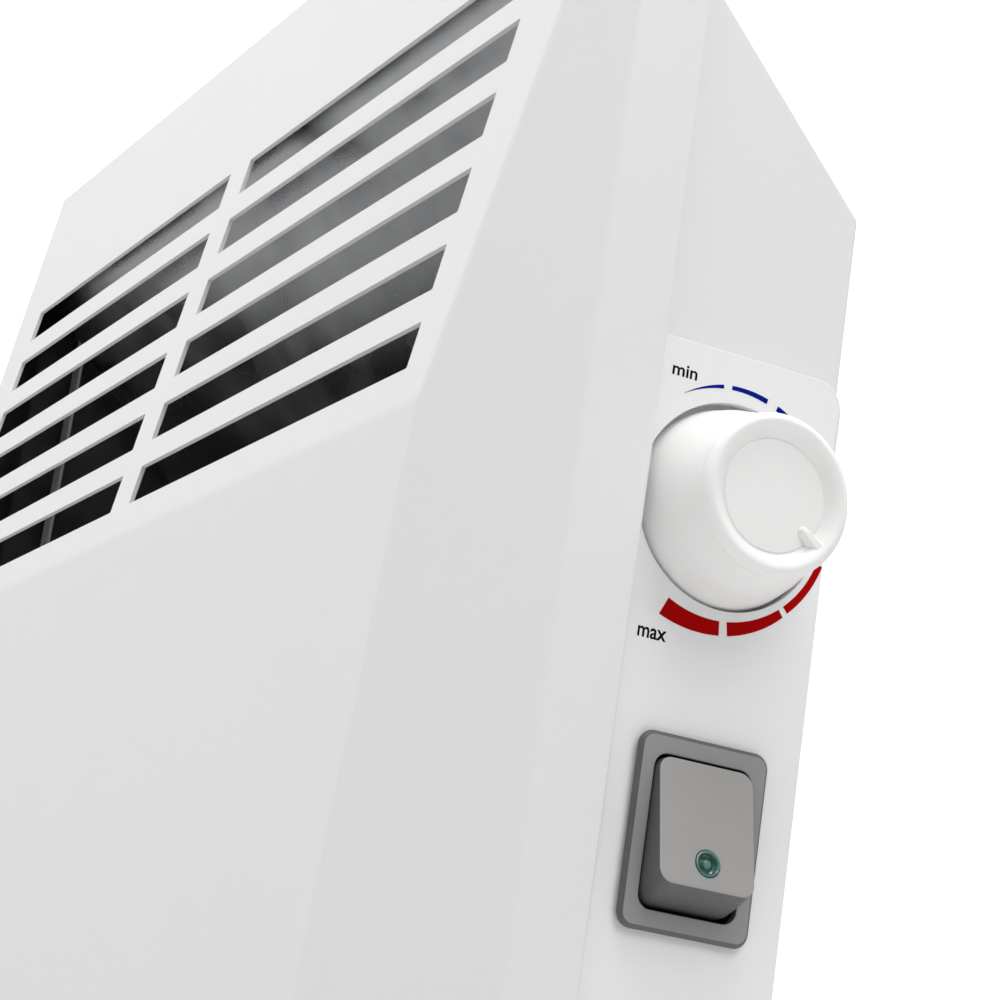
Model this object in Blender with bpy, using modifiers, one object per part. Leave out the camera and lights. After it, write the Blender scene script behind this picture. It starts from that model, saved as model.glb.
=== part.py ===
"""Wall-hung electric convector heater, with a front grille and its controls on the right side."""
import math

import bmesh
import bpy
from mathutils import Matrix, Vector

# All sizes are in metres. The front faces -Y and the wall is the plane Y = 0.
# Overall sizes.
HEATER_WIDTH = 0.450
HEATER_HEIGHT = 0.450
PANEL_TOP_Z = 0.148
WALL_GAP = 0.012
CASING_DEPTH = 0.0491
RETURN_DEPTH = 0.0176
CASING_RECESS = 0.0079
GAP = 0.0003
RUNNING_GAP = 0.00008

# Front panel: a shallow tray with a grille plane, a lower plane and two side facets.
PANEL_SHEET = 0.0012
PANEL_BEND = 0.0020
GRILLE_TILT = math.radians(9.24)
LOWER_LEAN = math.radians(2.37)
FACET_ANGLE = math.radians(54.6)
TOP_FORWARD = 0.0016
GRILLE_MARGIN = 0.0334
SLOT_ROWS = 6
SLOT_PITCH = 0.0196
SLOT_OPENING = 0.0116
SLOT_BAR = 0.0156
TOP_SLOT_BELOW_EDGE = 0.0551
BEND_BELOW_SLOTS = 0.0098
INLET_MARGIN = 0.040
INLET_BARS = 18
INLET_SLOT = 0.012

# Rear casing and the sheet metal in it.
CASING_SHEET = 0.0010
CASING_BEND = 0.0016
CASING_INTO_PANEL = 0.0060
SLOPE_START_Z = 0.0415
CASING_FLANGE = 0.009
CASING_SLOTS = 12
CASING_SLOT = (0.020, 0.014)
GUIDE_SHEET = 0.0008
GUIDE_BELOW_SLOPE = 0.0042
GUIDE_LIP = 0.006
SHIELD_SHEET = 0.0006
SHIELD_OFF_BACK = 0.0085
CLIP_SHEET = 0.0008
CLIP_WIDTH = 0.020

# Controls on the right side.
CONTROL_Y = -0.0378
PLATE_PROUD = 0.00345
PLATE_HEIGHT = 0.165
PLATE_UNDER_PANEL = 0.008
PLATE_CORNER = 0.0065
KNOB_Z = -0.0347
WELL_RADIUS = 0.0232
WELL_ABOVE_KNOB = 0.0004
KNOB_GAP = 0.0003
KNOB_HEIGHT = 0.0200
KNOB_WALL = 0.0022
LIP_RADIUS = 0.0180
DISC_RADIUS = 0.0125
DISC_DEPTH = 0.0023
POINTER_ANGLE = math.radians(-36)
HUB_RADIUS = 0.0060
SPINDLE_RADIUS = 0.0030
BUSHING_RADIUS = 0.0050
NUT_RADIUS = 0.0080
THERMOSTAT_SIZE = (0.026, 0.030, 0.036)
PLUNGER_RADIUS = 0.0020
PLUNGER_TRAVEL = 0.0006
SWITCH_Z = -0.1078
BEZEL_WIDTH = 0.0320
BEZEL_HEIGHT = 0.0420
BEZEL_THICK = 0.0022
BEZEL_CORNER = 0.0034
WINDOW_CORNER = 0.0031
SWITCH_WIDTH = 0.0240
SWITCH_HEIGHT = 0.0330
SWITCH_WALL = 0.0012
SWITCH_DEPTH = 0.0240
ROCKER_TILT = math.radians(14)
ROCKER_FACE = 0.00965
PIVOT_BELOW_BEZEL = 0.0050
PIN_RADIUS = 0.0015
LENS_RADIUS = 0.0031
LENS_DOWN = 0.0082

# Heating element, cable entry and wall fixings.
ELEMENT_Z = -0.215
ELEMENT_Y = -0.058
ELEMENT_INSET = 0.062
SHEATH_RADIUS = 0.004
FIN_COUNT = 6
FIN_PITCH = 0.0105
FIN_THICK = 0.0025
FIN_ROOT = 0.0070
FIN_REACH = 0.0150
CUTOUT_X = 0.060
CUTOUT_ABOVE_ELEMENT = 0.075
GLAND_BORE = 0.0037
GLAND_RADIUS = 0.0059
GLAND_INSET = 0.055
BLOCK_SIZE = (0.036, 0.0187, 0.018)
PORT_PITCH = 0.011
RAIL_SIZE = (0.260, 0.0015, 0.044)
HOOK_SPACING = 0.200
HOOK_WIDTH = 0.020
WALL_HOLE_SPACING = 0.120
WALL_HOLE_RADIUS = 0.00275
LATCH_INSET = 0.075
LATCH_RADIUS = 0.0030
LATCH_OFF_BACK = 0.012
SPACER_RADIUS = 0.009
LEAD_RADIUS = 0.0011

# Places that follow from the sizes.
HALF = HEATER_WIDTH / 2
BOTTOM_Z = PANEL_TOP_Z - HEATER_HEIGHT
BACK_Y = -WALL_GAP
RETURN_REAR_Y = BACK_Y - CASING_DEPTH
EDGE_Y = RETURN_REAR_Y - RETURN_DEPTH
CASING_X = HALF - CASING_RECESS
CASING_FRONT_Y = RETURN_REAR_Y - CASING_INTO_PANEL
PLATE_X = CASING_X + PLATE_PROUD
CASING_TOP_Z = PANEL_TOP_Z - CASING_RECESS
CASING_BOTTOM_Z = BOTTOM_Z + CASING_RECESS
GRILLE_TOP = Vector((0, EDGE_Y - TOP_FORWARD, PANEL_TOP_Z))
DOWN_GRILLE = Vector((0, -math.sin(GRILLE_TILT), -math.cos(GRILLE_TILT)))
LOWEST_SLOT = TOP_SLOT_BELOW_EDGE + (SLOT_ROWS - 1) * SLOT_PITCH + SLOT_OPENING
BEND = GRILLE_TOP + DOWN_GRILLE * (LOWEST_SLOT + BEND_BELOW_SLOTS)
BOTTOM_FRONT_Y = BEND.y - (BEND.z - BOTTOM_Z) * math.tan(LOWER_LEAN)
KNOB_AXIS = Vector((0, CONTROL_Y, KNOB_Z))
WELL_AXIS = KNOB_AXIS + Vector((0, 0, WELL_ABOVE_KNOB))
LIP_X = PLATE_X + KNOB_HEIGHT
BEZEL_LOW = PLATE_X + GAP
BEZEL_HIGH = BEZEL_LOW + BEZEL_THICK
PIVOT = Vector((BEZEL_HIGH - PIVOT_BELOW_BEZEL, CONTROL_Y, SWITCH_Z))
SHIELD_Y = BACK_Y - SHIELD_OFF_BACK
MOUNT_Y = SHIELD_Y - SHIELD_SHEET - GAP
ELEMENT = Vector((0, ELEMENT_Y, ELEMENT_Z))
ELEMENT_END = CASING_X - ELEMENT_INSET
GLAND = Vector((HALF - GLAND_INSET, BACK_Y - 0.014, CASING_BOTTOM_Z))
LATCH = Vector((LATCH_INSET - HALF, BACK_Y - LATCH_OFF_BACK, CASING_BOTTOM_Z))

# Looks: red, green, blue, metallic, roughness.
WHITE_PAINT = (0.80, 0.80, 0.79, 0, 0.42)
GALVANISED = (0.48, 0.49, 0.50, 0.9, 0.45)
STEEL = (0.56, 0.56, 0.57, 1, 0.35)
BRASS = (0.72, 0.56, 0.26, 1, 0.32)
COPPER = (0.72, 0.45, 0.30, 1, 0.35)
ALUMINIUM = (0.72, 0.73, 0.74, 1, 0.40)
WHITE_PLASTIC = (0.86, 0.86, 0.84, 0, 0.38)
GREY_PLASTIC = (0.24, 0.235, 0.23, 0, 0.42)
BLACK_PLASTIC = (0.03, 0.03, 0.03, 0, 0.5)
CERAMIC = (0.82, 0.79, 0.72, 0, 0.6)
LEAD_SLEEVE = (0.75, 0.74, 0.70, 0, 0.6)
GREEN_LENS = (0.10, 0.42, 0.30, 0, 0.15)
LAMP_GLASS = (0.90, 0.50, 0.30, 0, 0.2)

# Rotations that lay a tool's own Z along an axis of the heater.
ALONG = {
    "X": Matrix(((0, 0, 1, 0), (1, 0, 0, 0), (0, 1, 0, 0), (0, 0, 0, 1))),
    "Y": Matrix(((1, 0, 0, 0), (0, 0, -1, 0), (0, 1, 0, 0), (0, 0, 0, 1))),
    "Z": Matrix.Identity(4),
}

for old in list(bpy.data.objects):
    bpy.data.objects.remove(old, do_unlink=True)
heater = bpy.data.collections.new("wall_heater")
cutters = bpy.data.collections.new("cutters")
for collection in (heater, cutters):
    bpy.context.scene.collection.children.link(collection)


def place(obj, look):
    """Puts a part in the heater with its own material, or a cutter, which has no look, out of sight."""
    if look is None:
        cutters.objects.link(obj)
        obj.hide_render = True
        obj.display_type = "WIRE"
        return obj
    heater.objects.link(obj)
    material = bpy.data.materials.new(obj.name)
    material.use_nodes = True
    shader = material.node_tree.nodes["Principled BSDF"]
    shader.inputs["Base Color"].default_value = (look[0], look[1], look[2], 1)
    shader.inputs["Metallic"].default_value = look[3]
    shader.inputs["Roughness"].default_value = look[4]
    obj.data.materials.append(material)
    return obj


def finish_mesh(name, work, look):
    bmesh.ops.recalc_face_normals(work, faces=work.faces)
    mesh = bpy.data.meshes.new(name)
    work.to_mesh(mesh)
    work.free()
    return place(bpy.data.objects.new(name, mesh), look)


def boxes(name, spans, look=None, turn=Matrix.Identity(4)):
    """One object of cubes stretched between pairs of opposite corners."""
    work = bmesh.new()
    for low, high in spans:
        low, high = Vector(low), Vector(high)
        stretch = Matrix.Diagonal((*(high - low), 1))
        bmesh.ops.create_cube(work, size=1, matrix=turn @ Matrix.Translation((low + high) / 2) @ stretch)
    return finish_mesh(name, work, look)


def box(name, low, high, look=None):
    return boxes(name, [(low, high)], look)


def rod(name, radius, axis, low, high, centre, look=None, steps=24):
    """A cylinder between two places along an axis through centre, with its origin on that axis."""
    work = bmesh.new()
    middle = Matrix.Translation((0, 0, (low + high) / 2))
    bmesh.ops.create_cone(
        work, cap_ends=True, segments=steps, radius1=radius, radius2=radius, depth=high - low, matrix=middle
    )
    obj = finish_mesh(name, work, look)
    set_place(obj, axis, centre)
    return obj


def set_place(obj, axis, centre):
    """Stands an object made about its own Z on an axis, measured from the heater's origin along it."""
    foot = Vector(centre)
    foot["XYZ".index(axis)] = 0
    flip = Matrix.Diagonal((1, 1, -1, 1)) if axis == "Y" else Matrix.Identity(4)
    obj.data.transform(flip)
    if axis == "Y":
        obj.data.flip_normals()
    obj.matrix_world = Matrix.Translation(foot) @ ALONG[axis]


def turned(name, profile, axis, centre, look=None, steps=24):
    """A profile of (along, radius) pairs turned about an axis by a Screw modifier."""
    flip = -1 if axis == "Y" else 1
    points = [(radius, along * flip) for along, radius in profile]
    ends = list(zip(points, points[1:] + points[:1]))
    if sum(a[0] * b[1] - b[0] * a[1] for a, b in ends) > 0:
        points.reverse()
    mesh = bpy.data.meshes.new(name)
    edges = [(i, i + 1) for i in range(len(points) - 1)]
    if profile[0][1]:
        edges.append((len(points) - 1, 0))
    mesh.from_pydata([(radius, 0, along) for radius, along in points], edges, [])
    obj = place(bpy.data.objects.new(name, mesh), look)
    screw = obj.modifiers.new("turn", "SCREW")
    screw.steps = steps
    screw.render_steps = steps
    screw.use_merge_vertices = True
    screw.merge_threshold = 0.00001
    foot = Vector(centre)
    foot["XYZ".index(axis)] = 0
    obj.matrix_world = Matrix.Translation(foot) @ ALONG[axis]
    return obj


def sleeve(name, outer, inner, axis, low, high, centre, look, steps=24):
    profile = [(low, inner), (low, outer), (high, outer), (high, inner)]
    return turned(name, profile, axis, centre, look, steps)


def outlined(name, outline, axis, low, high, look=None):
    """A flat outline given a thickness along an axis. Its pairs are the other two, in X, Y, Z order."""
    curve = bpy.data.curves.new(name, "CURVE")
    curve.dimensions = "2D"
    curve.fill_mode = "BOTH"
    curve.extrude = abs(high - low) / 2
    spline = curve.splines.new("POLY")
    spline.points.add(len(outline) - 1)
    spline.use_cyclic_u = True
    for point, pair in zip(spline.points, outline):
        point.co = (*pair, 0, 1)
    drawn = bpy.data.objects.new(name, curve)
    bpy.context.scene.collection.objects.link(drawn)
    shift = Vector((0, 0, 0))
    shift["XYZ".index(axis)] = (low + high) / 2
    graph = bpy.context.evaluated_depsgraph_get()
    mesh = bpy.data.meshes.new_from_object(drawn.evaluated_get(graph))
    bpy.data.objects.remove(drawn)
    work = bmesh.new()
    work.from_mesh(mesh)
    bmesh.ops.remove_doubles(work, verts=work.verts, dist=0.000001)
    obj = finish_mesh(name, work, look)
    obj.matrix_world = Matrix.Translation(shift) @ ALONG[axis]
    return obj


def rounded(width, height, radius, centre, steps=4):
    """A rectangle's outline with round corners."""
    points = []
    for turn in range(4):
        middle = math.radians(45 + 90 * turn)
        across = math.copysign(width / 2 - radius, math.cos(middle)) + centre[0]
        up = math.copysign(height / 2 - radius, math.sin(middle)) + centre[1]
        for i in range(steps + 1):
            angle = math.radians(90 * turn + 90 * i / steps)
            points.append((across + radius * math.cos(angle), up + radius * math.sin(angle)))
    return points


def hexagon(radius, centre):
    turns = [math.radians(60 * i) for i in range(6)]
    return [(centre[0] + radius * math.cos(t), centre[1] + radius * math.sin(t)) for t in turns]


def folded(name, path, thickness, low, high, look):
    """A bent sheet: an open strip along a path of (y, z) pairs, thickened on the path's right."""
    work = bmesh.new()
    left = [work.verts.new((low, y, z)) for y, z in path]
    right = [work.verts.new((high, y, z)) for y, z in path]
    for i in range(len(path) - 1):
        work.faces.new((left[i], left[i + 1], right[i + 1], right[i]))
    mesh = bpy.data.meshes.new(name)
    work.to_mesh(mesh)
    work.free()
    obj = place(bpy.data.objects.new(name, mesh), look)
    sheet = obj.modifiers.new("sheet", "SOLIDIFY")
    sheet.thickness = thickness
    sheet.offset = 1
    sheet.use_even_offset = True
    return obj


def route(points, steps=6):
    """A smooth run through the route's own points, leaving each along the line of its neighbours."""
    points = [Vector(p) for p in points]
    ends = [2 * points[0] - points[1]] + points + [2 * points[-1] - points[-2]]
    run = []
    for a, b, c, d in zip(ends, ends[1:], ends[2:], ends[3:]):
        for i in range(steps):
            t = i / steps
            ease = 2 * b + (c - a) * t + (2 * a - 5 * b + 4 * c - d) * t * t
            run.append((ease + (3 * b - a - 3 * c + d) * t * t * t) / 2)
    return run + [points[-1]]


def wire(name, points, radius, look):
    curve = bpy.data.curves.new(name, "CURVE")
    curve.dimensions = "3D"
    curve.bevel_depth = radius
    curve.bevel_resolution = 1
    curve.use_fill_caps = True
    spline = curve.splines.new("POLY")
    run = route(points)
    spline.points.add(len(run) - 1)
    for point, where in zip(spline.points, run):
        point.co = (*where, 1)
    return place(bpy.data.objects.new(name, curve), look)


def boolean(obj, other, operation="DIFFERENCE"):
    modifier = obj.modifiers.new(other.name, "BOOLEAN")
    modifier.operation = operation
    modifier.solver = "EXACT"
    modifier.object = other


def soften(obj, width, segments, sharpest):
    bevel = obj.modifiers.new("edges", "BEVEL")
    bevel.width = width
    bevel.segments = segments
    bevel.limit_method = "ANGLE"
    bevel.angle_limit = math.radians(sharpest)


def hollow(obj, sheet):
    wall = obj.modifiers.new("sheet", "SOLIDIFY")
    wall.thickness = sheet
    wall.offset = -1
    wall.use_even_offset = True


def turn_about(obj, point):
    """Moves the object's origin onto a joint's axis and leaves its mesh where it is."""
    obj.data.transform(Matrix.Translation(-Vector(point)) @ obj.matrix_world)
    obj.matrix_world = Matrix.Translation(point)


# Front panel: one folded steel sheet, lofted through its top, its bend line and its bottom.
work = bmesh.new()
levels = []
for front_y, z in ((GRILLE_TOP.y, PANEL_TOP_Z), (BEND.y, BEND.z), (BOTTOM_FRONT_Y, BOTTOM_Z)):
    inset = (EDGE_Y - front_y) / math.tan(FACET_ANGLE)
    right = [(HALF, RETURN_REAR_Y), (HALF, EDGE_Y), (HALF - inset, front_y)]
    ring = right + [(-x, y) for x, y in right[::-1]]
    levels.append([work.verts.new((x, y, z)) for x, y in ring])
work.faces.new(levels[0])
work.faces.new(levels[2])
for upper, lower in zip(levels, levels[1:]):
    for i in range(6):
        work.faces.new((upper[i - 1], upper[i], lower[i], lower[i - 1]))
front_panel = finish_mesh("front_panel", work, WHITE_PAINT)
soften(front_panel, PANEL_BEND, 2, 4)
hollow(front_panel, PANEL_SHEET)

# Six rows of slots in two columns let the warm air out through the tilted plane.
slot_length = (HEATER_WIDTH - 2 * GRILLE_MARGIN - SLOT_BAR) / 2
lean_back = Matrix.Translation(GRILLE_TOP) @ Matrix.Rotation(-GRILLE_TILT, 4, "X")
slots = []
for side in (-1, 1):
    ends = sorted((side * SLOT_BAR / 2, side * (SLOT_BAR / 2 + slot_length)))
    for row in range(SLOT_ROWS):
        upper = -TOP_SLOT_BELOW_EDGE - row * SLOT_PITCH
        slots.append(((ends[0], -0.004, upper - SLOT_OPENING), (ends[1], 0.004, upper)))
boolean(front_panel, boxes("grille_slots", slots, None, lean_back))

# The casing comes in through the panel's open back, and the control plate through a notch in it.
open_low = (-CASING_X - GAP, RETURN_REAR_Y - 0.004, CASING_BOTTOM_Z - GAP)
open_high = (CASING_X + GAP, RETURN_REAR_Y + 0.004, CASING_TOP_Z + GAP)
boolean(front_panel, box("rear_opening", open_low, open_high))
notch_low = (CASING_X - 0.002, RETURN_REAR_Y - 0.004, -PLATE_HEIGHT - GAP)
notch_high = (PLATE_X + GAP, RETURN_REAR_Y + 0.004, GAP)
boolean(front_panel, box("plate_notch", notch_low, notch_high))
inlet_low = Vector((INLET_MARGIN - HALF, BOTTOM_FRONT_Y + 0.012, BOTTOM_Z - 0.004))
inlet_high = Vector((HALF - INLET_MARGIN, RETURN_REAR_Y - 0.006, BOTTOM_Z + 0.004))
boolean(front_panel, box("inlet_opening", inlet_low, inlet_high))

# Rear casing: back, sloped top, sides and bottom in one painted steel box, open to the front.
casing_side = [(BACK_Y, CASING_BOTTOM_Z), (BACK_Y, SLOPE_START_Z)]
casing_side += [(RETURN_REAR_Y, SLOPE_START_Z + CASING_DEPTH), (RETURN_REAR_Y, CASING_TOP_Z)]
casing_side += [(CASING_FRONT_Y, CASING_TOP_Z), (CASING_FRONT_Y, CASING_BOTTOM_Z)]
rear_casing = outlined("rear_casing", casing_side, "X", -CASING_X, CASING_X, WHITE_PAINT)
soften(rear_casing, CASING_BEND, 2, 4)
hollow(rear_casing, CASING_SHEET)
mouth_x = CASING_X - CASING_FLANGE
mouth_low = (-mouth_x, CASING_FRONT_Y - 0.004, CASING_BOTTOM_Z + CASING_FLANGE)
mouth_high = (mouth_x, CASING_FRONT_Y + 0.003, CASING_TOP_Z - CASING_FLANGE)
boolean(rear_casing, box("casing_mouth", mouth_low, mouth_high))
bushing_hole = BUSHING_RADIUS + GAP
side_wall = (CASING_X - 0.004, CASING_X + 0.004)
boolean(rear_casing, rod("bushing_hole", bushing_hole, "X", *side_wall, KNOB_AXIS))
switch_middle = (CONTROL_Y, SWITCH_Z)
housing_width = SWITCH_WIDTH + 2 * SWITCH_WALL
housing_height = SWITCH_HEIGHT + 2 * SWITCH_WALL
switch_outline = rounded(housing_width + 2 * GAP, housing_height + 2 * GAP, 0.002, switch_middle, 3)
switch_hole = outlined("switch_hole", switch_outline, "X", CASING_X - 0.004, PLATE_X + 0.004)
boolean(rear_casing, switch_hole)
intakes = []
for i in range(CASING_SLOTS):
    x = (i + 0.5 - CASING_SLOTS / 2) * (2 * CASING_X - 0.060) / CASING_SLOTS
    low = (x - CASING_SLOT[0] / 2, BACK_Y - 0.026 - CASING_SLOT[1], CASING_BOTTOM_Z - 0.003)
    intakes.append((low, (x + CASING_SLOT[0] / 2, BACK_Y - 0.026, CASING_BOTTOM_Z + 0.003)))
boolean(rear_casing, boxes("bottom_intakes", intakes))
shelf_z = RAIL_SIZE[2] / 2
windows = []
for side in (-1, 1):
    x = side * HOOK_SPACING / 2
    low = (x - HOOK_WIDTH / 2 - 0.003, BACK_Y - 0.004, shelf_z - RAIL_SIZE[1] - 0.002)
    windows.append((low, (x + HOOK_WIDTH / 2 + 0.003, BACK_Y + 0.004, shelf_z + 0.012)))
boolean(rear_casing, boxes("hook_windows", windows))
floor_wall = (CASING_BOTTOM_Z - 0.004, CASING_BOTTOM_Z + 0.004)
boolean(rear_casing, rod("gland_hole", GLAND_RADIUS + GAP, "Z", *floor_wall, GLAND))
boolean(rear_casing, rod("latch_hole", LATCH_RADIUS + RUNNING_GAP, "Z", *floor_wall, LATCH))

# Air guide: galvanised sheet under the slope, which turns the rising air forward to the slots.
guide_x = mouth_x - 0.0015
guide_y = BACK_Y - 0.0065
guide_z = SLOPE_START_Z - GUIDE_BELOW_SLOPE * math.sqrt(2) + BACK_Y - guide_y
lean = math.tan(GRILLE_TILT)
panel_inside = PANEL_SHEET / math.cos(GRILLE_TILT) + GUIDE_SHEET + 2 * GAP
guide_rise = PANEL_TOP_Z - guide_z - guide_y - GUIDE_LIP
guide_front = (GRILLE_TOP.y + panel_inside + 0.0008 - guide_rise * lean) / (1 + lean)
guide_path = [(guide_front, guide_z + guide_y - guide_front + GUIDE_LIP)]
guide_path += [(guide_front, guide_z + guide_y - guide_front), (guide_y, guide_z)]
air_guide = folded("air_guide", guide_path, GUIDE_SHEET, -guide_x, guide_x, GALVANISED)

# Heat shield between the element and the casing's back.
shield_path = [(SHIELD_Y, 0.010), (SHIELD_Y, ELEMENT_Z - 0.035), (SHIELD_Y - 0.010, ELEMENT_Z - 0.047)]
shield_x = (0.020 - CASING_X, CASING_X - 0.070)
folded("heat_shield", shield_path, SHIELD_SHEET, *shield_x, ALUMINIUM)

# Slotted inlet grille over the opening in the bottom of the front panel.
grille_z = BOTTOM_Z + PANEL_SHEET + GAP
grille_low = (inlet_low.x - 0.006, inlet_low.y - 0.005, grille_z)
grille_high = (inlet_high.x + 0.006, inlet_high.y + 0.003, grille_z + 0.0008)
inlet_grille = box("inlet_grille", grille_low, grille_high, GALVANISED)
gratings = []
for i in range(INLET_BARS):
    x = (i + 0.5 - INLET_BARS / 2) * (inlet_high.x - inlet_low.x) / INLET_BARS
    low = (x - INLET_SLOT / 2, inlet_low.y + 0.004, grille_z - 0.002)
    gratings.append((low, (x + INLET_SLOT / 2, inlet_high.y - 0.004, grille_z + 0.003)))
boolean(inlet_grille, boxes("inlet_gratings", gratings))

# Spring clips join the panel's rear flange to the casing's front edge.
clip_in = CASING_FRONT_Y - GAP
clip_flange = RETURN_REAR_Y - PANEL_SHEET - 0.0004
clip_out = HALF - PANEL_SHEET - 0.0010
clip_wrap = CASING_X + 0.0005
clip_path = [(CASING_X - 0.0075, clip_in), (clip_wrap, clip_in), (clip_wrap, clip_flange)]
clip_path += [(clip_out, clip_flange), (clip_out, clip_flange - CLIP_SHEET)]
clip_path += [(clip_wrap + CLIP_SHEET, clip_flange - CLIP_SHEET)]
clip_path += [(clip_wrap + CLIP_SHEET, clip_in - CLIP_SHEET), (CASING_X - 0.0075, clip_in - CLIP_SHEET)]
for side, hand in ((-1, "left"), (1, "right")):
    for level, z in (("upper", CASING_TOP_Z - 0.035), ("lower", CASING_BOTTOM_Z + 0.039)):
        span = (z - CLIP_WIDTH / 2, z + CLIP_WIDTH / 2)
        mirrored = [(side * x, y) for x, y in clip_path]
        outlined("panel_clip_" + level + "_" + hand, mirrored, "Z", *span, STEEL)

# Control plate on the casing's side, its front edge tucked under the panel's side return.
plate_rear = BACK_Y - 0.0009
plate_edge = [(RETURN_REAR_Y - PLATE_UNDER_PANEL, -PLATE_HEIGHT), (RETURN_REAR_Y - PLATE_UNDER_PANEL, 0)]
for centre_z, start in ((-PLATE_CORNER, 90), (PLATE_CORNER - PLATE_HEIGHT, 0)):
    for i in range(7):
        angle = math.radians(start - 15 * i)
        y = plate_rear - PLATE_CORNER + PLATE_CORNER * math.cos(angle)
        plate_edge.append((y, centre_z + PLATE_CORNER * math.sin(angle)))
control_plate = outlined("control_plate", plate_edge, "X", CASING_X + GAP, PLATE_X, WHITE_PAINT)
well_span = (CASING_X - 0.002, PLATE_X + 0.002)
boolean(control_plate, rod("knob_well", WELL_RADIUS, "X", *well_span, WELL_AXIS, None, 64))
boolean(control_plate, switch_hole)

# Thermostat knob: hollow cone with a round lip, a sunk disc and a moulded pointer rib.
knob_foot = CASING_X + 0.0005
foot_radius = WELL_RADIUS - WELL_ABOVE_KNOB - KNOB_GAP
bore = SPINDLE_RADIUS + RUNNING_GAP
waist_x = PLATE_X + 0.009
waist = LIP_RADIUS + 0.0016
knob_profile = [(knob_foot, foot_radius), (PLATE_X, foot_radius - 0.0007), (waist_x, waist)]
knob_profile += [(LIP_X - 0.0028, LIP_RADIUS + 0.0001), (LIP_X - 0.0016, LIP_RADIUS)]
knob_profile += [(LIP_X - 0.0005, LIP_RADIUS - 0.0005), (LIP_X, LIP_RADIUS - 0.0016)]
knob_profile += [(LIP_X - 0.0003, LIP_RADIUS - 0.0026), (LIP_X - DISC_DEPTH, DISC_RADIUS)]
knob_profile += [(LIP_X - DISC_DEPTH, 0), (LIP_X - 0.0065, 0), (LIP_X - 0.0065, bore)]
hub_foot = CASING_X + 0.0042
inside = LIP_X - DISC_DEPTH - 0.0019
knob_profile += [(hub_foot, bore), (hub_foot, HUB_RADIUS), (inside, HUB_RADIUS), (inside, DISC_RADIUS)]
knob_profile += [(waist_x, waist - KNOB_WALL), (PLATE_X, foot_radius - 0.0007 - KNOB_WALL)]
knob_profile += [(knob_foot, foot_radius - KNOB_WALL)]
knob = turned("thermostat_knob", knob_profile, "X", KNOB_AXIS, WHITE_PLASTIC, 64)
work = bmesh.new()
rib_foot = -0.0006
for reach, half, height in ((0.0075, 0.0018, rib_foot), (0.0148, 0.0022, rib_foot), (0.0105, 0, 0.0018)):
    work.verts.new((height, reach, half))
    work.verts.new((height, reach, -half))
work.verts.new((0.0020, 0.0148, 0))
bmesh.ops.remove_doubles(work, verts=work.verts, dist=0.00001)
bmesh.ops.convex_hull(work, input=work.verts)
pointer_rib = finish_mesh("pointer_rib", work, None)
disc_middle = Matrix.Translation((LIP_X - DISC_DEPTH, CONTROL_Y, KNOB_Z))
pointer_rib.matrix_world = disc_middle @ Matrix.Rotation(POINTER_ANGLE, 4, "X")
boolean(knob, pointer_rib, "UNION")

# Split spring ring that grips the knob's hub.
ring_low = CASING_X + 0.0080
ring_size = (HUB_RADIUS + 0.0010, HUB_RADIUS + GAP)
knob_clip = sleeve("knob_clip", *ring_size, "X", ring_low, ring_low + 0.004, KNOB_AXIS, STEEL)
slit_low = (ring_low - 0.002, CONTROL_Y - 0.001, KNOB_Z)
boolean(knob_clip, box("clip_slit", slit_low, (ring_low + 0.006, CONTROL_Y + 0.001, KNOB_Z + 0.010)))

# Thermostat on the casing's side: body, bushing, nut, spindle, plunger, leaf, terminals and bulb.
body_high = CASING_X - CASING_SHEET - GAP
body_low = body_high - THERMOSTAT_SIZE[0]
spindle_end = body_low + 0.0150
body_half = Vector((0, THERMOSTAT_SIZE[1] / 2, THERMOSTAT_SIZE[2] / 2))
body_spans = (KNOB_AXIS - body_half, KNOB_AXIS + body_half)
body_spans[0].x = body_low
body_spans[1].x = body_high
thermostat_body = box("thermostat_body", *body_spans, BLACK_PLASTIC)
boolean(thermostat_body, rod("spindle_bore", bore, "X", spindle_end - GAP, body_high + 0.002, KNOB_AXIS))
plunger_bore = PLUNGER_RADIUS + RUNNING_GAP
boolean(thermostat_body, rod("plunger_bore", plunger_bore, "X", body_low - 0.002, body_high, KNOB_AXIS))
bushing_span = (body_high + 0.0001, CASING_X + 0.0036)
sleeve("thermostat_bushing", BUSHING_RADIUS, bore, "X", *bushing_span, KNOB_AXIS, BRASS)
nut_span = (CASING_X + GAP, CASING_X + 0.0030)
thermostat_nut = outlined("thermostat_nut", hexagon(NUT_RADIUS, KNOB_AXIS.yz), "X", *nut_span, BRASS)
nut_bore = BUSHING_RADIUS + 0.0001
boolean(thermostat_nut, rod("nut_bore", nut_bore, "X", *side_wall, KNOB_AXIS))
spindle = rod("thermostat_spindle", SPINDLE_RADIUS, "X", spindle_end, LIP_X - 0.0068, KNOB_AXIS, BRASS)
flat_low = (CASING_X + 0.010, CONTROL_Y - 0.004, KNOB_Z + SPINDLE_RADIUS * 2 / 3)
boolean(spindle, box("spindle_flat", flat_low, (LIP_X, CONTROL_Y + 0.004, KNOB_Z + SPINDLE_RADIUS + 0.001)))
plunger_low = body_low - 0.0040
plunger_span = (plunger_low, spindle_end - PLUNGER_TRAVEL)
rod("thermostat_plunger", PLUNGER_RADIUS, "X", *plunger_span, KNOB_AXIS, BRASS)
leaf_x = plunger_low - 0.0018
leaf_foot = body_low + 0.006
leaf_top = KNOB_Z + body_half.z + 0.004
leaf_side = [(leaf_x, KNOB_Z - 0.006), (leaf_x, leaf_top), (leaf_foot, leaf_top)]
leaf_side += [(leaf_foot, leaf_top - 0.0006), (leaf_x + 0.0006, leaf_top - 0.0006)]
leaf_side += [(leaf_x + 0.0006, KNOB_Z - 0.006)]
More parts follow.
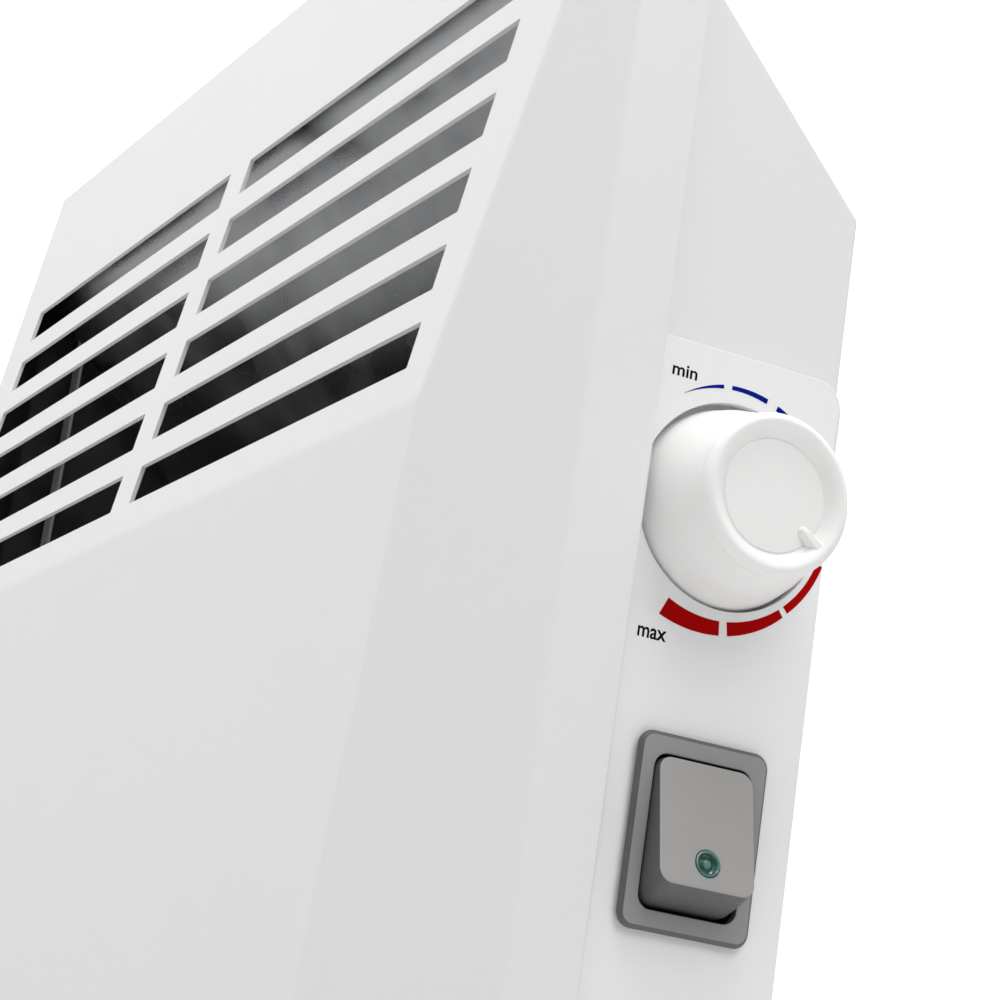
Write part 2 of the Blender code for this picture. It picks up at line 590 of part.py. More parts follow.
outlined("thermostat_leaf", leaf_side, "Y", CONTROL_Y - 0.004, CONTROL_Y + 0.004, BRASS)
terminal_z = KNOB_Z - body_half.z - GAP
for number, offset in ((1, -0.008), (2, 0.008)):
    low = (body_low + 0.008, CONTROL_Y + offset - 0.003, terminal_z - 0.0082)
    high = (body_low + 0.0088, CONTROL_Y + offset + 0.003, terminal_z)
    box("thermostat_terminal_" + str(number), low, high, BRASS)
bulb = Vector((CASING_X - 0.052, -0.050, CASING_BOTTOM_Z + 0.019))
rod("thermostat_bulb", 0.003, "X", bulb.x - 0.065, bulb.x, bulb, COPPER, 12)
tube_run = [(body_low - 0.001, CONTROL_Y - 0.011, KNOB_Z + 0.012)]
tube_run += [(body_low - 0.012, CONTROL_Y - 0.014, KNOB_Z - 0.005)]
tube_run += [(CASING_X - 0.032, -0.062, -0.120), (CASING_X - 0.025, -0.060, -0.220)]
tube_run += [(bulb.x + 0.012, bulb.y, bulb.z), (bulb.x + 0.001, bulb.y, bulb.z)]
wire("capillary_tube", tube_run, 0.0008, COPPER)

# Rocker switch: bezel and housing, with a hollow that is open to the front.
bezel_outline = rounded(BEZEL_WIDTH, BEZEL_HEIGHT, BEZEL_CORNER, switch_middle)
rocker_bezel = outlined("rocker_bezel", bezel_outline, "X", BEZEL_LOW, BEZEL_HIGH, GREY_PLASTIC)
soften(rocker_bezel, 0.0009, 1, 60)
window_outline = rounded(SWITCH_WIDTH, SWITCH_HEIGHT, WINDOW_CORNER, switch_middle)
window_span = (BEZEL_LOW - 0.002, BEZEL_HIGH + 0.002)
boolean(rocker_bezel, outlined("bezel_window", window_outline, "X", *window_span))
housing_outline = rounded(housing_width, housing_height, 0.0018, switch_middle, 2)
housing_span = (BEZEL_LOW - SWITCH_DEPTH, BEZEL_LOW - 0.0002)
rocker_housing = outlined("rocker_housing", housing_outline, "X", *housing_span, BLACK_PLASTIC)
hollow_outline = rounded(SWITCH_WIDTH, SWITCH_HEIGHT, 0.0010, switch_middle, 2)
hollow_span = (housing_span[0] + 0.0015, BEZEL_LOW + 0.002)
boolean(rocker_housing, outlined("housing_hollow", hollow_outline, "X", *hollow_span))

# Steel pin across the housing, on which the rocker tips.
pin_reach = SWITCH_WIDTH / 2 + 0.0008
rod("rocker_pin", PIN_RADIUS, "Y", CONTROL_Y - pin_reach, CONTROL_Y + pin_reach, PIVOT, STEEL)
hole_span = (CONTROL_Y - pin_reach - 0.003, CONTROL_Y + pin_reach + 0.003)
pin_hole = rod("pin_hole", PIN_RADIUS + RUNNING_GAP, "Y", *hole_span, PIVOT)
boolean(rocker_housing, pin_hole)

# Rocker button, pressed in at its top. Its ends are round about the pin, so that they clear the
# window as it tips, its corners are cut to pass through it at either limit, and it has a pocket
# for the lens near its raised lower end.
rocker_end = SWITCH_HEIGHT / 2 - 0.0005
half_side = [(ROCKER_FACE, rocker_end - 0.0021), (0.0075, rocker_end - 0.0014)]
half_side += [(0.0050, rocker_end - 0.0007), (0, rocker_end), (-0.0030, rocker_end - 0.0004)]
half_side += [(-0.0045, 0.0045), (-0.0090, 0.0015)]
button_side = half_side + [(out, -up) for out, up in half_side[::-1]]
button_half = SWITCH_WIDTH / 2 - 0.00035
rocker_button = outlined("rocker_button", button_side, "Y", -button_half, button_half, GREY_PLASTIC)
lean_up = Matrix.Translation(PIVOT) @ Matrix.Rotation(-ROCKER_TILT, 4, "Y")
rocker_button.data.transform(rocker_button.matrix_world)
rocker_button.matrix_world = lean_up
soften(rocker_button, 0.0005, 2, 70)
passage_outline = rounded(2 * button_half, SWITCH_HEIGHT - 0.0008, 0.0034, switch_middle)
for number, lean in ((1, 0), (2, -2 * ROCKER_TILT)):
    passage = outlined("passage_" + str(number), passage_outline, "X", PIVOT.x - 0.020, PIVOT.x + 0.020)
    about_pin = Matrix.Translation(PIVOT) @ Matrix.Rotation(lean, 4, "Y") @ Matrix.Translation(-PIVOT)
    passage.matrix_world = about_pin @ passage.matrix_world
    boolean(rocker_button, passage, "INTERSECT")
boolean(rocker_button, pin_hole)
lens_seat = ROCKER_FACE - 0.003
lens_foot = lean_up @ Matrix.Translation((0, 0, -LENS_DOWN))
pocket = rod("lens_pocket", LENS_RADIUS + 0.0001, "X", lens_seat, ROCKER_FACE + 0.003, (0, 0, 0))
pocket.matrix_world = lens_foot @ pocket.matrix_world
boolean(rocker_button, pocket)
dome = [(lens_seat + 0.0002, 0), (lens_seat + 0.0002, LENS_RADIUS), (ROCKER_FACE, LENS_RADIUS)]
dome += [(ROCKER_FACE + 0.0006, LENS_RADIUS * 0.6), (ROCKER_FACE + 0.0008, 0)]
rocker_lens = turned("rocker_lens", dome, "X", (0, 0, 0), GREEN_LENS)
rocker_lens.matrix_world = lens_foot @ rocker_lens.matrix_world

# Neon lamp on the housing's floor and three blade terminals behind it.
lamp_low = housing_span[0] + 0.0018
lamp = (0, CONTROL_Y, SWITCH_Z - 0.010)
rod("indicator_lamp", 0.0022, "X", lamp_low, lamp_low + 0.0065, lamp, LAMP_GLASS, 12)
for number, offset in ((1, 0.010), (2, 0), (3, -0.010)):
    low = (housing_span[0] - 0.008, CONTROL_Y - 0.003, SWITCH_Z + offset - 0.0004)
    high = (housing_span[0] - GAP, CONTROL_Y + 0.003, SWITCH_Z + offset + 0.0004)
    box("switch_terminal_" + str(number), low, high, BRASS)

# Heating element: a sheathed rod in a body of flat aluminium fins.
fin_x = ELEMENT_END - 0.022
fins_high = (FIN_COUNT - 1) * FIN_PITCH / 2
spine = Vector((fin_x - 0.0005, FIN_ROOT, fins_high))
element_fins = box("element_fins", ELEMENT - spine, ELEMENT + spine, ALUMINIUM)
fin_half = Vector((fin_x, FIN_REACH, FIN_THICK / 2))
fin_middles = [ELEMENT + Vector((0, 0, i * FIN_PITCH - fins_high)) for i in range(FIN_COUNT)]
fins = boxes("fins", [(middle - fin_half, middle + fin_half) for middle in fin_middles])
boolean(element_fins, fins, "UNION")
sheath_bore = SHEATH_RADIUS + 0.0002
boolean(element_fins, rod("fin_bore", sheath_bore, "X", -HALF, HALF, ELEMENT, None, 16))
rod("element_sheath", SHEATH_RADIUS, "X", -ELEMENT_END, ELEMENT_END, ELEMENT, STEEL, 16)

# The rod's two ends: ceramic insulator, terminal stud and the bracket that holds it off the shield.
bracket_side = [(ELEMENT_END - 0.012, ELEMENT_Y - 0.012), (ELEMENT_END - 0.012, MOUNT_Y)]
bracket_side += [(ELEMENT_END - 0.0325, MOUNT_Y), (ELEMENT_END - 0.0325, MOUNT_Y - 0.001)]
bracket_side += [(ELEMENT_END - 0.013, MOUNT_Y - 0.001), (ELEMENT_END - 0.013, ELEMENT_Y - 0.012)]
for side, hand in ((-1, "left"), (1, "right")):
    span = sorted((side * (ELEMENT_END - 0.010), side * (ELEMENT_END - 0.002)))
    sleeve("element_insulator_" + hand, 0.0075, sheath_bore, "X", *span, ELEMENT, CERAMIC, 16)
    span = sorted((side * (ELEMENT_END + GAP), side * (ELEMENT_END + 0.010)))
    rod("element_stud_" + hand, 0.002, "X", *span, ELEMENT, STEEL, 12)
    outline = [(side * x, y) for x, y in bracket_side]
    span = (ELEMENT_Z - 0.012, ELEMENT_Z + 0.012)
    bracket = outlined("element_bracket_" + hand, outline, "Z", *span, STEEL)
    boolean(bracket, rod("bracket_hole_" + hand, sheath_bore, "X", -HALF, HALF, ELEMENT, None, 16))

# Safety cut-out on a bracket over the element.
cutout_z = ELEMENT_Z + CUTOUT_ABOVE_ELEMENT
cutout_y = MOUNT_Y - 0.020
ledge = [(MOUNT_Y, cutout_z - 0.012), (MOUNT_Y, cutout_z), (MOUNT_Y - 0.034, cutout_z)]
ledge += [(MOUNT_Y - 0.034, cutout_z - 0.001), (MOUNT_Y - 0.001, cutout_z - 0.001)]
ledge += [(MOUNT_Y - 0.001, cutout_z - 0.012)]
outlined("cutout_bracket", ledge, "X", CUTOUT_X - 0.010, CUTOUT_X + 0.010, STEEL)
can = [(cutout_z + GAP, 0), (cutout_z + GAP, 0.0085), (cutout_z + 0.004, 0.0085)]
can += [(cutout_z + 0.004, 0.0070), (cutout_z + 0.010, 0.0070), (cutout_z + 0.010, 0)]
turned("thermal_cutout", can, "Z", (CUTOUT_X, cutout_y, 0), BLACK_PLASTIC, 16)
for number, offset in ((1, -0.0045), (2, 0.0045)):
    low = (CUTOUT_X + offset - 0.0004, cutout_y - 0.002, cutout_z + 0.010 + GAP)
    high = (CUTOUT_X + offset + 0.0004, cutout_y + 0.002, cutout_z + 0.017)
    box("cutout_terminal_" + str(number), low, high, BRASS)

# Supply cable entry: a gland through the casing's bottom, its nut, and a terminal block above.
gland_side = [(BOTTOM_Z + 0.0004, GLAND_BORE), (BOTTOM_Z + 0.0004, 0.0085)]
gland_side += [(CASING_BOTTOM_Z - GAP, 0.0085), (CASING_BOTTOM_Z - GAP, GLAND_RADIUS)]
gland_side += [(CASING_BOTTOM_Z + 0.012, GLAND_RADIUS), (CASING_BOTTOM_Z + 0.012, GLAND_BORE)]
turned("cable_gland", gland_side, "Z", GLAND, BLACK_PLASTIC)
nut_low = CASING_BOTTOM_Z + CASING_SHEET + GAP
gland_nut = outlined("gland_nut", hexagon(0.0090, GLAND.xy), "Z", nut_low, nut_low + 0.004, BLACK_PLASTIC)
nut_bore = GLAND_RADIUS + 0.0001
boolean(gland_nut, rod("gland_nut_bore", nut_bore, "Z", nut_low - 0.002, nut_low + 0.006, GLAND))
block_low = Vector((GLAND.x - BLOCK_SIZE[0] / 2, BACK_Y - CASING_SHEET - GAP - BLOCK_SIZE[1], 0))
block_low.z = BOTTOM_Z + 0.045
block_high = block_low + Vector(BLOCK_SIZE)
terminal_block = box("terminal_block", block_low, block_high, WHITE_PLASTIC)
port_y = BACK_Y - 0.011
for i in range(3):
    port = (GLAND.x + (i - 1) * PORT_PITCH, port_y, 0)
    span = (block_low.z - 0.01, block_high.z + 0.01)
    boolean(terminal_block, rod("port_" + str(i + 1), 0.0028, "Z", *span, port, None, 12))
    head = (port[0], 0, (block_low.z + block_high.z) / 2)
    span = (block_low.y - 0.0030, block_low.y - GAP)
    rod("clamp_screw_" + str(i + 1), 0.0022, "Y", *span, head, BRASS, 12)

# Wall rail: a plate with a shelf and two hooks that reach through the casing's back.
rail_x = RAIL_SIZE[0] / 2
rail = box("wall_rail", (-rail_x, -RAIL_SIZE[1], -shelf_z), (rail_x, 0, shelf_z), GALVANISED)
shelf_low = shelf_z - RAIL_SIZE[1]
hook_y = BACK_Y - 0.0042
shelf = box("rail_shelf", (-rail_x, BACK_Y + 0.0015, shelf_low), (rail_x, -0.0005, shelf_z))
boolean(rail, shelf, "UNION")
for side, hand in ((-1, "left"), (1, "right")):
    low = side * HOOK_SPACING / 2 - HOOK_WIDTH / 2
    high = low + HOOK_WIDTH
    boolean(rail, box("tongue_" + hand, (low, hook_y, shelf_low), (high, -0.0005, shelf_z)), "UNION")
    tip = (high, hook_y + RAIL_SIZE[1], shelf_z + 0.009)
    boolean(rail, box("hook_tip_" + hand, (low, hook_y, shelf_low), tip), "UNION")
    wall_hole = (side * WALL_HOLE_SPACING / 2, 0, 0)
    boolean(rail, rod("wall_hole_" + hand, WALL_HOLE_RADIUS, "Y", -0.004, 0.004, wall_hole, None, 32))

# Lower wall clip, and the quarter-turn latch that closes under its shelf.
clip_z = CASING_BOTTOM_Z - 0.0004
clip_side = [(0, clip_z + 0.022), (0, clip_z - 0.0015), (-0.0175, clip_z - 0.0015)]
clip_side += [(-0.0175, clip_z), (-0.0015, clip_z), (-0.0015, clip_z + 0.022)]
outlined("wall_clip", clip_side, "X", LATCH.x - 0.012, LATCH.x + 0.012, GALVANISED)
blade_high = clip_z - 0.0015 - GAP
blade_low = blade_high - 0.0015
latch_side = [(blade_low, 0), (blade_low, 0.0060), (blade_high, 0.0060), (blade_high, LATCH_RADIUS)]
latch_side += [(CASING_BOTTOM_Z + 0.0030, LATCH_RADIUS), (CASING_BOTTOM_Z + 0.0030, 0)]
latch = turned("bracket_latch", latch_side, "Z", LATCH, STEEL)
blade_spans = ((LATCH.x - 0.0045, LATCH.y - 0.010, blade_low), (LATCH.x + 0.0045, LATCH.y + 0.0165, blade_high))
blade = box("latch_blade", *blade_spans)
boolean(latch, blade, "UNION")
slot_low = (LATCH.x - 0.0005, LATCH.y - 0.0050, blade_low - 0.001)
boolean(latch, box("latch_slot", slot_low, (LATCH.x + 0.0005, LATCH.y + 0.0050, blade_low + 0.0007)))

# Two spacers keep the casing's lower end parallel to the wall.
spacer_side = [(BACK_Y + GAP, 0), (BACK_Y + GAP, SPACER_RADIUS), (-0.0015, SPACER_RADIUS)]
spacer_side += [(0, SPACER_RADIUS - 0.0015), (0, 0)]
for side, hand in ((-1, "left"), (1, "right")):
    foot = (side * (HALF - 0.030), 0, BOTTOM_Z + 0.040)
    turned("wall_spacer_" + hand, spacer_side, "Y", foot, BLACK_PLASTIC, 20)

# Heat-proof leads between the terminal block, the switch, the thermostat, the cut-out and the element.
lead_z = block_high.z
blade_x = housing_span[0] - 0.0085
run = [(GLAND.x + PORT_PITCH, port_y, lead_z - 0.004), (GLAND.x + PORT_PITCH, port_y, lead_z + 0.012)]
run += [(CASING_X - 0.033, -0.030, -0.190), (CASING_X - 0.035, CONTROL_Y, SWITCH_Z - 0.010)]
run += [(blade_x, CONTROL_Y, SWITCH_Z - 0.010)]
wire("lead_switch", run, LEAD_RADIUS, LEAD_SLEEVE)
run = [(blade_x, CONTROL_Y, SWITCH_Z + 0.010), (CASING_X - 0.037, CONTROL_Y + 0.004, SWITCH_Z + 0.018)]
run += [(body_low + 0.0084, CONTROL_Y + 0.008, terminal_z - 0.021)]
run += [(body_low + 0.0084, CONTROL_Y + 0.008, terminal_z - 0.0088)]
wire("lead_thermostat", run, LEAD_RADIUS, LEAD_SLEEVE)
run = [(body_low + 0.0084, CONTROL_Y - 0.008, terminal_z - 0.0088)]
run += [(body_low + 0.0084, CONTROL_Y - 0.009, terminal_z - 0.020), (0.150, cutout_y, cutout_z + 0.050)]
run += [(CUTOUT_X + 0.020, cutout_y, cutout_z + 0.040), (CUTOUT_X + 0.0045, cutout_y, cutout_z + 0.0185)]
wire("lead_cutout", run, LEAD_RADIUS, LEAD_SLEEVE)
run = [(GLAND.x - PORT_PITCH, port_y, lead_z - 0.004), (GLAND.x - PORT_PITCH, port_y - 0.004, lead_z + 0.016)]
run += [(ELEMENT_END + 0.020, ELEMENT_Y + 0.006, ELEMENT_Z - 0.010)]
run += [(ELEMENT_END + 0.0118, ELEMENT_Y, ELEMENT_Z)]
wire("lead_neutral", run, LEAD_RADIUS, LEAD_SLEEVE)
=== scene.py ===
"""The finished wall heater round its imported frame: studio, painted sheet, plastics and metals."""
import math

import bmesh
import bpy
from mathutils import Matrix, Vector


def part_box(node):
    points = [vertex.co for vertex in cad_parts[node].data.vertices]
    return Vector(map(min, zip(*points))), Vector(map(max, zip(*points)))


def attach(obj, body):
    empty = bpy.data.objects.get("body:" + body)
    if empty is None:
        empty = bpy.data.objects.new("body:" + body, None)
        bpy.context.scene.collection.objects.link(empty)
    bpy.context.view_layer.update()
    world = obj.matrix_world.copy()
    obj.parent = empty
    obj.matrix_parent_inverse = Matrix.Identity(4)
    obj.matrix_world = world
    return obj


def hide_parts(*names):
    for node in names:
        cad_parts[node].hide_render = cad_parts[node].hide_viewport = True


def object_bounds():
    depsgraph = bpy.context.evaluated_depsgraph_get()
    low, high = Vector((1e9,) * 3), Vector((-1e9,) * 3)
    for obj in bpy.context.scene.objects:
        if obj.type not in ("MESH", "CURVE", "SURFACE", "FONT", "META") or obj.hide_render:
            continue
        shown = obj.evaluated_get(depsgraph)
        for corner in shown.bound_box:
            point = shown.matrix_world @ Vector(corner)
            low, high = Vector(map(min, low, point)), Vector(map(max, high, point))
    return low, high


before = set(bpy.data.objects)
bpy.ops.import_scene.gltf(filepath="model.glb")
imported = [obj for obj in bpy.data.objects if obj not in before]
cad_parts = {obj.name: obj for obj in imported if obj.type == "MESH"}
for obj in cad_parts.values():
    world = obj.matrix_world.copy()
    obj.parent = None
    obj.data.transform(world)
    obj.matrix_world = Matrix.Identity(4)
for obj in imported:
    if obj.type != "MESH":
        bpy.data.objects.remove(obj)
cad_box = [list(corner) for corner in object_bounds()]
heater_low, heater_high = (Vector(corner) for corner in cad_box)

# Camera. It stands low beside the right-hand front corner and looks up along the heater's side,
# through a long lens, close enough that the heater runs out of the frame.
camera_right = Vector((0.4477082, 0.8829673, 0.1411598))
camera_down = Vector((-0.1630825, 0.2358476, -0.9580084))
camera_ahead = Vector((-0.8791823, 0.4058875, 0.2495874))
lens = bpy.data.cameras.new("studio_camera")
lens.sensor_width = 36.0
lens.lens = 101.11
lens.clip_start = 0.01
lens.clip_end = 50.0
camera = bpy.data.objects.new("studio_camera", lens)
turned = Matrix((camera_right, -camera_down, -camera_ahead)).transposed().to_4x4()
camera.matrix_world = Matrix.Translation((0.7374, -0.33174, -0.19303)) @ turned
bpy.context.scene.collection.objects.link(camera)
bpy.context.scene.camera = camera
bpy.context.scene.view_settings.view_transform = "Standard"

# Studio. A white sweep behind the heater, a sky that brightens overhead, and soft boxes above, in
# front, to the right and behind, which leave the front darker than the side with the controls.
studio = bpy.data.worlds.new("studio")
studio.use_nodes = True
bpy.context.scene.world = studio
sky = studio.node_tree.nodes
links = studio.node_tree.links
direction = sky.new("ShaderNodeTexCoord")
towards = sky.new("ShaderNodeVectorMath")
towards.operation = "DOT_PRODUCT"
towards.inputs[1].default_value = camera_ahead
brightness = sky.new("ShaderNodeMapRange")
brightness.inputs["From Min"].default_value = 0.55
brightness.inputs["From Max"].default_value = 0.93
brightness.inputs["To Min"].default_value = 0.06
brightness.inputs["To Max"].default_value = 1.05
upwards = sky.new("ShaderNodeSeparateXYZ")
overhead = sky.new("ShaderNodeMapRange")
overhead.inputs["From Min"].default_value = -0.2
overhead.inputs["From Max"].default_value = 1.0
overhead.inputs["To Min"].default_value = 0.0
overhead.inputs["To Max"].default_value = 0.92
glow = sky.new("ShaderNodeMath")
links.new(direction.outputs["Generated"], towards.inputs[0])
links.new(towards.outputs["Value"], brightness.inputs["Value"])
links.new(direction.outputs["Generated"], upwards.inputs["Vector"])
links.new(upwards.outputs["Z"], overhead.inputs["Value"])
links.new(brightness.outputs["Result"], glow.inputs[0])
links.new(overhead.outputs["Result"], glow.inputs[1])
links.new(glow.outputs["Value"], sky["Background"].inputs["Strength"])
sky["Background"].inputs["Color"].default_value = (1.0, 1.0, 1.0, 1.0)


def soft_box(name, place, width, height, power):
    """A soft box aimed at the middle of the controls."""
    lamp = bpy.data.lights.new(name, "AREA")
    lamp.shape = "RECTANGLE"
    lamp.size = width
    lamp.size_y = height
    lamp.energy = power
    box = bpy.data.objects.new(name, lamp)
    aim = Vector((heater_high.x, -0.06, -0.05))
    facing = (Vector(place) - aim).to_track_quat("Z", "Y").to_matrix().to_4x4()
    box.matrix_world = Matrix.Translation(place) @ facing
    bpy.context.scene.collection.objects.link(box)


soft_box("front_box", (-0.55, -1.35, 0.35), 1.2, 0.9, 3.6)
soft_box("top_box", (0.30, -0.20, 1.30), 0.8, 0.8, 13.75)
soft_box("side_box", (1.20, 0.10, 0.95), 0.7, 0.7, 5.4)
soft_box("rear_box", (0.95, 1.60, 0.40), 0.9, 1.2, 0.8)

floor = bpy.data.meshes.new("studio_floor")
floor_work = bmesh.new()
bmesh.ops.create_grid(floor_work, x_segments=2, y_segments=2, size=4.0)
floor_work.to_mesh(floor)
floor_work.free()
studio_floor = bpy.data.objects.new("studio_floor", floor)
room_below = 0.45
studio_floor.location = (0.0, 0.0, heater_low.z - room_below)
bpy.context.scene.collection.objects.link(studio_floor)
pale = bpy.data.materials.new("pale_floor")
pale.use_nodes = True
floor_paint = pale.node_tree.nodes["Principled BSDF"].inputs
floor_paint["Base Color"].default_value = (0.82, 0.82, 0.82, 1.0)
floor_paint["Roughness"].default_value = 0.6
floor.materials.append(pale)


# White paint. Fine powder coat on folded sheet steel: satin, very slightly pebbled, with a little
# unevenness in its gloss from the oven.
class Flow:
    """One output among a material's nodes. Arithmetic on flows adds Math nodes."""

    def __init__(self, tree, output=None):
        self.tree = tree
        self.output = output

    def node(self, kind, settings, sockets, output=0):
        made = self.tree.nodes.new(kind)
        for name, value in settings.items():
            setattr(made, name, value)
        for name, value in sockets.items():
            if isinstance(value, Flow):
                self.tree.links.new(value.output, made.inputs[name])
            else:
                made.inputs[name].default_value = value
        return Flow(self.tree, made.outputs[output])

    def maths(self, operation, first, second):
        return self.node("ShaderNodeMath", {"operation": operation}, {0: first, 1: second})

    def __add__(self, other):
        return self.maths("ADD", self, other)

    def __radd__(self, other):
        return self.maths("ADD", other, self)

    def __sub__(self, other):
        return self.maths("SUBTRACT", self, other)

    def __rsub__(self, other):
        return self.maths("SUBTRACT", other, self)

    def __mul__(self, other):
        return self.maths("MULTIPLY", self, other)

    def __rmul__(self, other):
        return self.maths("MULTIPLY", other, self)

    def grain(self, size, detail=2.0):
        """Soft noise from 0 to 1 whose blotches are about this many metres across."""
        sockets = {"Vector": self, "Scale": 1.0 / size, "Detail": detail}
        return self.node("ShaderNodeTexNoise", {}, sockets, "Fac")

    def between(self, low, high, first, second):
        """first where this is under low, second where it is over high, and smooth between."""
        settings = {"interpolation_type": "SMOOTHSTEP"}
        sockets = {"Value": self, "From Min": low, "From Max": high}
        sockets.update({"To Min": first, "To Max": second})
        return self.node("ShaderNodeMapRange", settings, sockets)

    def tint(self, first, second):
        """first where this is 0 and second where it is 1."""
        sockets = {0: self, 6: (*first, 1.0), 7: (*second, 1.0)}
        return self.node("ShaderNodeMix", {"data_type": "RGBA"}, sockets, 2)

    def relief(self, depth):
        """A bumpy surface whose bumps are this many metres deep."""
        return self.node("ShaderNodeBump", {}, {"Height": self, "Distance": depth}, "Normal")

    def into(self, shader, socket):
        self.tree.links.new(self.output, shader.inputs[socket])


def new_finish(name, fixed):
    """A material, its shader, with the values that don't vary, and the piece's own place."""
    material = bpy.data.materials.new(name)
    material.use_nodes = True
    shader = material.node_tree.nodes["Principled BSDF"]
    for socket, value in fixed.items():
        shader.inputs[socket].default_value = value
    start = Flow(material.node_tree)
    return material, shader, start.node("ShaderNodeTexCoord", {}, {}, "Object")


def painted(name, light, dark, gloss):
    material, shader, where = new_finish(name, {"IOR": 1.5})
    where.grain(0.060).tint(dark, light).into(shader, "Base Color")
    (gloss + 0.10 * where.grain(0.018)).into(shader, "Roughness")
    (where.grain(0.0009, 1.0) + 0.5 * where.grain(0.0026)).relief(0.000012).into(shader, "Normal")
    return material


def metal(name, light, dark, gloss, cloud, texture):
    material, shader, where = new_finish(name, {"Metallic": 1.0})
    clouds = where.grain(cloud, 3.0).between(0.3, 0.7, 0.0, 1.0)
    clouds.tint(dark, light).into(shader, "Base Color")
    (gloss + 0.16 * clouds).into(shader, "Roughness")
    where.grain(cloud / 40, 2.0).relief(texture).into(shader, "Normal")
    return material


white_coat = painted("white_coat", (0.815, 0.815, 0.815), (0.800, 0.800, 0.802), 0.36)
# The bare inner faces of the panel and casing, and the heat shield: dark metal, darkened as painted
# shade for the dim interior seen through the slots.
shaded_bare_inside = metal("shaded_bare_inside", (0.20, 0.20, 0.205), (0.10, 0.10, 0.105), 0.50, 0.030, 0.00002)


# Front panel. One sheet of steel cut with its rows of air slots and folded: the grille leans back,
# the lower front hangs almost plumb, and two facets turn the sides back to narrow returns.
def new_piece(name, work, material):
    """Makes a piece of the heater from modelling work, facing outwards."""
    bmesh.ops.recalc_face_normals(work, faces=work.faces)
    mesh = bpy.data.meshes.new(name)
    work.to_mesh(mesh)
    work.free()
    piece = bpy.data.objects.new(name, mesh)
    bpy.context.scene.collection.objects.link(piece)
    if material:
        mesh.materials.append(material)
    return piece


def rounded(width, height, radius, centre, steps=6):
    """The outline of a rectangle with round corners."""
    points = []
    for quarter in range(4):
        middle = math.radians(45 + 90 * quarter)
        across = math.copysign(width / 2 - radius, math.cos(middle)) + centre[0]
        up = math.copysign(height / 2 - radius, math.sin(middle)) + centre[1]
        for i in range(steps + 1):
            angle = math.radians(90 * quarter + 90 * i / steps)
            corner_x = across + radius * math.cos(angle)
            points.append(Vector((corner_x, up + radius * math.sin(angle))))
    return points


def add_slab(work, outline, low, high, turn):
    """Adds an outline given thickness, then turned into place by a matrix."""
    rings = []
    for level in (low, high):
        rings.append([work.verts.new(turn @ Vector((*point, level))) for point in outline])
    work.faces.new(rings[0])
    work.faces.new(rings[1])
    for i in range(len(outline)):
        work.faces.new((rings[0][i - 1], rings[0][i], rings[1][i], rings[1][i - 1]))


def slab(name, outline, low, high, turn, material=None):
    work = bmesh.new()
    add_slab(work, outline, low, high, turn)
    return new_piece(name, work, material)


def fold_edges(piece, width, segments, sharpest):
    bevel = piece.modifiers.new("folds", "BEVEL")
    bevel.width = width
    bevel.segments = segments
    bevel.limit_method = "ANGLE"
    bevel.angle_limit = math.radians(sharpest)


def thicken(piece, sheet):
    """Gives a closed shell the sheet's thickness inwards, with bare metal on its inside, darkened
    as painted shade.
    """
    piece.data.materials.append(shaded_bare_inside)
    wall = piece.modifiers.new("sheet", "SOLIDIFY")
    wall.thickness = sheet
    wall.offset = -1
    wall.use_even_offset = True
    wall.material_offset = 1


def cut(piece, *tools):
    for tool in tools:
        modifier = piece.modifiers.new(tool.name, "BOOLEAN")
        modifier.operation = "DIFFERENCE"
        modifier.solver = "EXACT"
        modifier.object = tool


def settle(piece, crease=28.0):
    """Fixes a piece's modifiers into its mesh, clears its cutting tools and smooths its shading."""
    bpy.context.view_layer.update()
    graph = bpy.context.evaluated_depsgraph_get()
    mesh = bpy.data.meshes.new_from_object(piece.evaluated_get(graph))
    tools = [modifier.object for modifier in piece.modifiers if modifier.type == "BOOLEAN"]
    piece.modifiers.clear()
    piece.data = mesh
    for tool in tools:
        if not tool.get("kept"):
            bpy.data.objects.remove(tool)
    mesh.shade_smooth()
    mesh.set_sharp_from_angle(angle=math.radians(crease))
    even = piece.modifiers.new("even_shading", "WEIGHTED_NORMAL")
    even.keep_sharp = True


panel_low, panel_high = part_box("front_panel")
panel_sheet = 0.0012
return_depth = 0.0176
top_forward = 0.0016
grille_tilt = math.radians(9.24)
facet_angle = math.radians(54.6)
slot_rows = 6
slot_pitch = 0.0196
slot_opening = 0.0116
slot_bar = 0.0156
grille_margin = 0.0334
top_slot = 0.0551
below_slots = 0.0098
bend_down = top_slot + (slot_rows - 1) * slot_pitch + slot_opening + below_slots
edge_y = panel_high.y - return_depth
grille_top = Vector((0.0, edge_y - top_forward, panel_high.z))
bend_line = grille_top - bend_down * Vector((0.0, math.sin(grille_tilt), math.cos(grille_tilt)))
folding = bmesh.new()
levels = []
front_line = (grille_top.y, panel_high.z), (bend_line.y, bend_line.z), (panel_low.y, panel_low.z)
for front_y, z in front_line:
    inset = (edge_y - front_y) / math.tan(facet_angle)
    right = [(panel_high.x, panel_high.y), (panel_high.x, edge_y), (panel_high.x - inset, front_y)]
    around = right + [(-x, y) for x, y in right[::-1]]
    levels.append([folding.verts.new((x, y, z)) for x, y in around])
folding.faces.new(levels[0])
folding.faces.new(levels[2])
for upper, lower in zip(levels, levels[1:]):
    for i in range(6):
        folding.faces.new((upper[i - 1], upper[i], lower[i], lower[i - 1]))
panel_skin = new_piece("panel_skin", folding, white_coat)
panel_fold = 0.0013
fold_edges(panel_skin, panel_fold, 4, 4)
thicken(panel_skin, panel_sheet)

